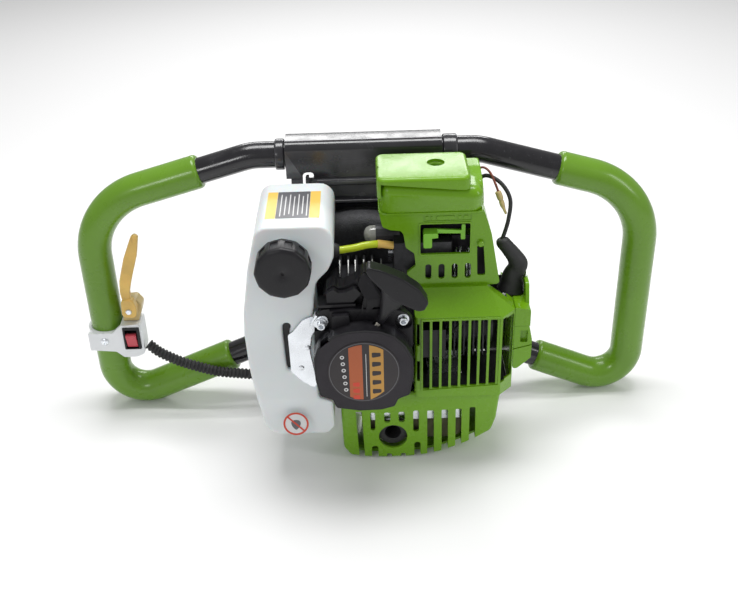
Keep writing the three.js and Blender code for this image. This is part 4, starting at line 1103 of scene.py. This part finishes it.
def add_exhaust():
    outline = [
        (-30.3, -34), (-30, -70), (-29, -101, 8), (-22.5, -110.8, 6), (-9, -113.4, 10), (10, -115, 20),
        (36, -114.6, 20), (56, -112.4, 16), (70.6, -108, 10), (87.6, -101), (101, -94, 6),
        (115.4, -84.6, 8), (120, -70, 8), (122, -50), (123.5, -38.6),
    ]
    guard = prism("exhaust_guard", rounded(outline), "Y", -114.4, -48)
    bevel(guard, 3.2, 4, 60)
    apply_modifiers(guard)
    inner = [
        (-27.6, -20), (-27.4, -70), (-26.4, -99, 6), (-21, -107.6, 4), (-9, -110.6, 8), (10, -112.2, 18),
        (36, -111.8, 18), (55.6, -109.6, 14), (70, -105.4, 8), (86.8, -98.6), (99.8, -91.8, 5),
        (113, -83.4, 6), (117.4, -69.6, 6), (119.4, -50), (120.6, -20),
    ]
    cutters = [prism("room", rounded(inner), "Y", -111.8, -40),
                prism("port", circle(19.6, -88.4, 14), "Y", -125, -105)]
    openings = [
        [(-16.2, -57), (-10.4, -57), (-8.4, -120), (-13.8, -120)],
        [(-2.2, -58.5, 2), (2.4, -58.5, 2), (2.4, -80, 2), (-2.2, -80, 2)],
        [(11.2, -59, 2), (17.2, -59, 2), (17.2, -71, 2), (11.2, -71, 2)],
        [(25.2, -58.5, 2), (31.2, -58.5, 2), (31.2, -71, 2), (25.2, -71, 2)],
        [(39.4, -57.5, 2), (45, -57.5, 2), (45, -83, 2), (39.4, -83, 2)],
        [(53, -58, 1), (59.4, -58, 1), (59.8, -120), (53.2, -120)],
        [(67, -57.5, 1), (73, -57.5, 1), (73.8, -120), (67.4, -120)],
        [(80.6, -57, 1), (86.2, -57, 1), (87, -120), (80.8, -120)],
        [(94, -55.5, 1), (99.6, -55.5, 1), (100.6, -120), (94.2, -120)],
        [(-1.6, -99.5, 2.8), (4.8, -99.5, 2.8), (4.8, -120), (-1.6, -120)],
        [(13.2, -109.5, 1.5), (18, -109.5, 1.5), (18, -120), (13.2, -120)],
        [(27.2, -109.5, 1.5), (31.8, -109.5, 1.5), (31.8, -120), (27.2, -120)],
        [(40.4, -96, 2.8), (46.6, -96, 2.8), (46.6, -120), (40.4, -120)],
    ]
    for shape in openings:
        cutters.append(prism("opening", rounded(shape), "Y", -125, -104))
    carve(guard, *cutters)
    piece(bevel(guard, 0.5, 2, 40), GREEN, replaces=["muffler_guard"])

    body = prism("silencer", rectangle(-10, -97, 90, -44, 14, 8), "Y", -107.5, -56)
    bevel(body, 5, 5, 60)
    apply_modifiers(body)
    join(body, box("flange", (56, -84, -46), (88, -58, -9)))
    port_at = (19.6, -87)

    def outlet():
        return prism("bore", circle(*port_at, 8.6, 32), "Y", -120, -90)

    carve(body, outlet())
    piece(bevel(body, 0.6, 2, 40), ZINC, replaces=["muffler"])
    # Painted shade: the silencer's lower half is a separate shell in the darker tone, standing in for shade.
    lower = prism("silencer_lower", rectangle(-10.5, -97.5, 90.5, -50, 14, 8), "Y", -108, -56.4)
    bevel(lower, 5, 5, 60)
    apply_modifiers(lower)
    carve(lower, box("upper", (-30, -130, -73), (110, -40, -30)), outlet())
    piece(bevel(lower, 0.4, 2, 40), SILENCER_SHADE)
    seam = prism("silencer_seam", rectangle(-11.4, -98.4, 91.4, -42.6, 15, 8), "Y", -84, -82)
    piece(bevel(seam, 0.5, 2), ZINC)
    # Painted shade: the tail pipe is in rough black so the exhaust port reads as a shaded hole.
    port = lathe("tail_pipe", port_at, [
        (0.5, -90), (8, -90), (8, -108.9), (13.7, -109.1), (13.7, -108.4), (8.4, -108.3), (8.4, -89.4),
        (0.5, -89.4)], 48)
    piece(smooth(port), CAST_BLACK)


# ---- clutch, crankcase, ignition, gearbox ----

def add_engine():
    housing = lathe("clutch_bell", (CRANK_X, CRANK_Z), [
        (14, -42), (60, -42), (82, -41.4), (88, -40), (92, -37.4), (94.6, -34), (96, -29), (96, -18.1),
        (91, -18.1),
        (88, -33), (55, -38), (14, -38), (14, -42)], 128)
    piece(smooth(housing), SAND_CAST, replaces=["clutch_housing"])
    for node, look in {
        "crankcase": DARK_CAST, "fan_shroud": CAST_BLACK, "gearbox_body": CAST_BLACK, "cylinder": DARK_CAST,
        "piston": BARE_CAST, "flywheel_fan": BARE_CAST, "crankshaft": STEEL, "clutch_drum": STEEL,
        "countershaft": STEEL, "output_shaft": STEEL, "output_bearing": STEEL, "recoil_spring": STEEL,
        "spark_plug": STEEL, "recoil_pulley": NYLON, "cap_seal": RUBBER, "ignition_coil": SATIN_BLACK,
    }.items():
        dress(node, look)

    for i, x in enumerate((-26.4, -18.4, -11.8, -3.9, 4.3, 12.4)):
        rib = prism(f"case_rib_{i}", rounded([(-78, 62), (-78, 75, 2), (-64, 86, 2), (-62, 62)], 0.5),
                    "X", x - 0.6, x + 0.6)
        piece(bevel(rib, 0.25, 2), BARE_CAST)

    stations = [(134.5, 50, 13), (135.4, 56, 11.4), (136, 64, 9.6), (139.4, 71, 8.8), (140.6, 76.5, 9.2),
                (137, 84, 7.6),
                (130.6, 92.5, 6.8), (125.4, 99, 6.4), (123.8, 102, 4)]
    path = smooth_path([(x, -70 + 0.06 * (z - 50), z) for x, z, _ in stations], 8)
    radii = []
    for i in range(len(path)):
        k = min(i // 8, len(stations) - 2)
        radii.append(stations[k][2] + (stations[k + 1][2] - stations[k][2]) * (i / 8 - k))
    boot = smooth(sweep("plug_cover", path, radii, 40), 60)
    piece(boot, RUBBER, replaces=["plug_boot"])

    lead = smooth_path([
        (77, -106, 26.5), (90, -107, 42), (101, -101, 51.5), (108, -90, 52.5), (111, -68, 56),
        (111, -36, 72), (106, -34, 100), (103, -34, 138), (110, -38, 153), (123, -48, 151),
        (132, -57, 138), (130.4, -63, 119),
        (125, -66.8, 101)], 10)
    piece(smooth(sweep("plug_lead", lead, 1.9, 16), 60), RUBBER, replaces=["ignition_lead"])
    wire = smooth_path([(98, -36, 152), (107, -37, 161), (114, -42, 159), (119, -50, 150),
                        (122, -54, 142)], 8)
    piece(smooth(sweep("stop_wire", wire, 1.1, 12), 60), WIRE, replaces=["kill_wire"])
    plug = smooth_path([(121, -53.4, 144), (123.6, -55.4, 137), (125.6, -57, 131), (128.6, -60, 124)], 6)
    widths = [2.4, 2.9, 2.9, 2.9, 2.9, 2.9, 2.6, 2.0, 2.4, 2.4, 2.4, 2.4, 2.2, 1.8, 1.5, 1.3, 1.2, 1.1, 1.0]
    piece(smooth(sweep("bullet_connector", plug, widths, 16), 50), PALE_TAN)

    cover = lathe("gear_cover", (CRANK_X, CRANK_Z), [
        (11, 38.3), (61, 38.3), (62, 39.3), (62, 43.5), (60.6, 45.2), (40, 49), (34, 50.6), (31, 54),
        (25.4, 70.8),
        (24, 72.3), (16.4, 72.3), (16.4, 52.3), (11, 50.3), (11, 38.3)], 128)
    piece(smooth(cover, 40), CAST_BLACK, replaces=["gearbox_cover"])
    for i in range(6):
        angle = math.pi * (i + 0.5) / 3
        at = (CRANK_X + 54 * math.cos(angle), CRANK_Z + 54 * math.sin(angle))
        boss = lathe(f"cover_screw_{i}", at, [
            (0.3, 47), (2.4, 47), (2.5, 51.4), (4, 51.6), (4.5, 51), (4.5, 44), (0.3, 44)], 32)
        piece(smooth(boss), ZINC)
        rib = box(f"cover_rib_{i}", (-1.6, 46, 30), (1.6, 49.6, 56))
        turned(rib, Matrix.Rotation(angle + math.pi / 6, 4, "Y"), (CRANK_X, 0, CRANK_Z))
        piece(bevel(rib, 0.8), CAST_BLACK)


# ---- controls ----

def add_controls():
    flat_outline = [
        (-289, -18), (-264.5, -18.5, 4), (-254.7, -9.5, 3), (-236.4, -8.1, 3), (-233.6, -18),
        (-233.6, -43.5, 5), (-241.9, -47.3, 4), (-255.5, -47.5, 3), (-263, -40.4, 4), (-289, -38),
    ]
    plate = prism("switch_strap", rounded(flat_outline), "Y", -21, -17)
    ring = prism("ring", circle(-LOOP_X, 0, 19.8, 64), "Z", -38, -18)
    body = prism("socket", rectangle(-256, -45.5, -234.4, -9.6, 2), "Y", -19, 4)
    join(plate, ring, body)
    bore = prism("bore", circle(-LOOP_X, 0, 16.8, 64), "Z", -60, 0)
    carve(plate, bore, prism("socket_room", rectangle(-253.2, -37.4, -236, -11.6), "Y", -30, -3))
    piece(bevel(plate, 0.7, 3), WHITE, replaces=["switch_bracket"])

    bezel = prism("switch_case", rectangle(-253, -37.2, -236.2, -11.8, 1), "Y", -22.6, -2.6)
    carve(bezel, prism("well", rectangle(-251, -36.2, -238.8, -14.2, 0.6), "Y", -30, -14))
    piece(bevel(bezel, 0.4, 2), SATIN_BLACK, replaces=["switch_body"])
    profile = rounded([(-16, -34), (-21, -35.6, 1), (-23, -27, 10), (-25.4, -19.6, 1), (-21, -19, 1),
                       (-16, -21)], 0.5, 4)
    piece(bevel(prism("rocker_cap", profile, "X", -250.4, -239.6), 0.7, 3), RED, "rocker",
          ["rocker"])
    screw = lathe("strap_screw", (-273, -28), [(0.3, -22.6), (1.2, -22.7), (3.4, -22.2), (4.2, -21.4),
        (4.3, -20), (0.3, -20)], 40)
    carve(screw, prism("cross", rectangle(-275.6, -28.5, -270.4, -27.5), "Y", -24, -21.6),
          prism("cross", rectangle(-273.5, -30.6, -272.5, -25.4), "Y", -24, -21.6))
    piece(smooth(screw), ZINC)

    blade = [
        (-249, 20, 3), (-249.4, 30, 6), (-248.2, 42, 20), (-240.5, 67, 30), (-230.4, 90.4, 4),
        (-226.6, 93, 2), (-223, 90.4, 3), (-227, 70, 30), (-236.6, 41, 20), (-239.6, 30, 8),
        (-240, 20, 3),
    ]
    lever = prism("lever_blade", rounded(blade, 0, 6), "Y", -19.6, -13.6)
    hub = rounded([(-250.4, 2, 4), (-249.6, 21, 4), (-238, 22, 5), (-234.6, 12, 6), (-236, 0, 5)], 0, 5)
    join(lever, prism("hub", hub, "Y", -22.6, -13.2))
    soften(lever, 0.7, 4)
    piece(lever, TAN, "throttle_lever", ["throttle_lever"])
    mount = prism("lever_mount", rounded([(-253, -8.8, 1), (-251, 4, 2), (-247, 16, 2), (-237, 17, 3),
                                          (-231.4, 9, 4), (-233, 2, 3),
                                          (-237, -8.8, 1)]), "Y", -12.4, 3)
    piece(bevel(mount, 1.2, 3), PALE_TAN, replaces=["throttle_mount"])
    pin = lathe("lever_pin", (-243, 8), [(0.3, -24), (2.4, -24), (3, -23.4), (3, -12.6), (0.3, -12.6)], 32)
    piece(smooth(pin), ZINC, "throttle_lever")

    route = smooth_path([
        (-230, -15, -36), (-219.3, -17, -45.2), (-199.2, -20, -55.2), (-178.8, -22, -62.2),
        (-158.1, -24, -67.3),
        (-126.7, -25, -71), (-95, -24, -77), (-66, -24, -84)], 12)
    run, at = measured(route)
    pitch = 3.9
    stations, radii = [], []
    count = int(run[-1] / pitch) * 6
    for k in range(count + 1):
        stations.append(at(run[-1] * k / count))
        radii.append([5.5, 5.5, 5.3, 4.4, 4.4, 5.3][k % 6])
    sleeve = smooth(sweep("corrugated_sleeve", stations, radii, 28), 30)
    piece(sleeve, RUBBER, replaces=["conduit"])


add_camera()
add_studio()
add_frame()
add_tank()
add_starter()
add_air_box()
add_cowl()
add_exhaust()
add_engine()
add_controls()
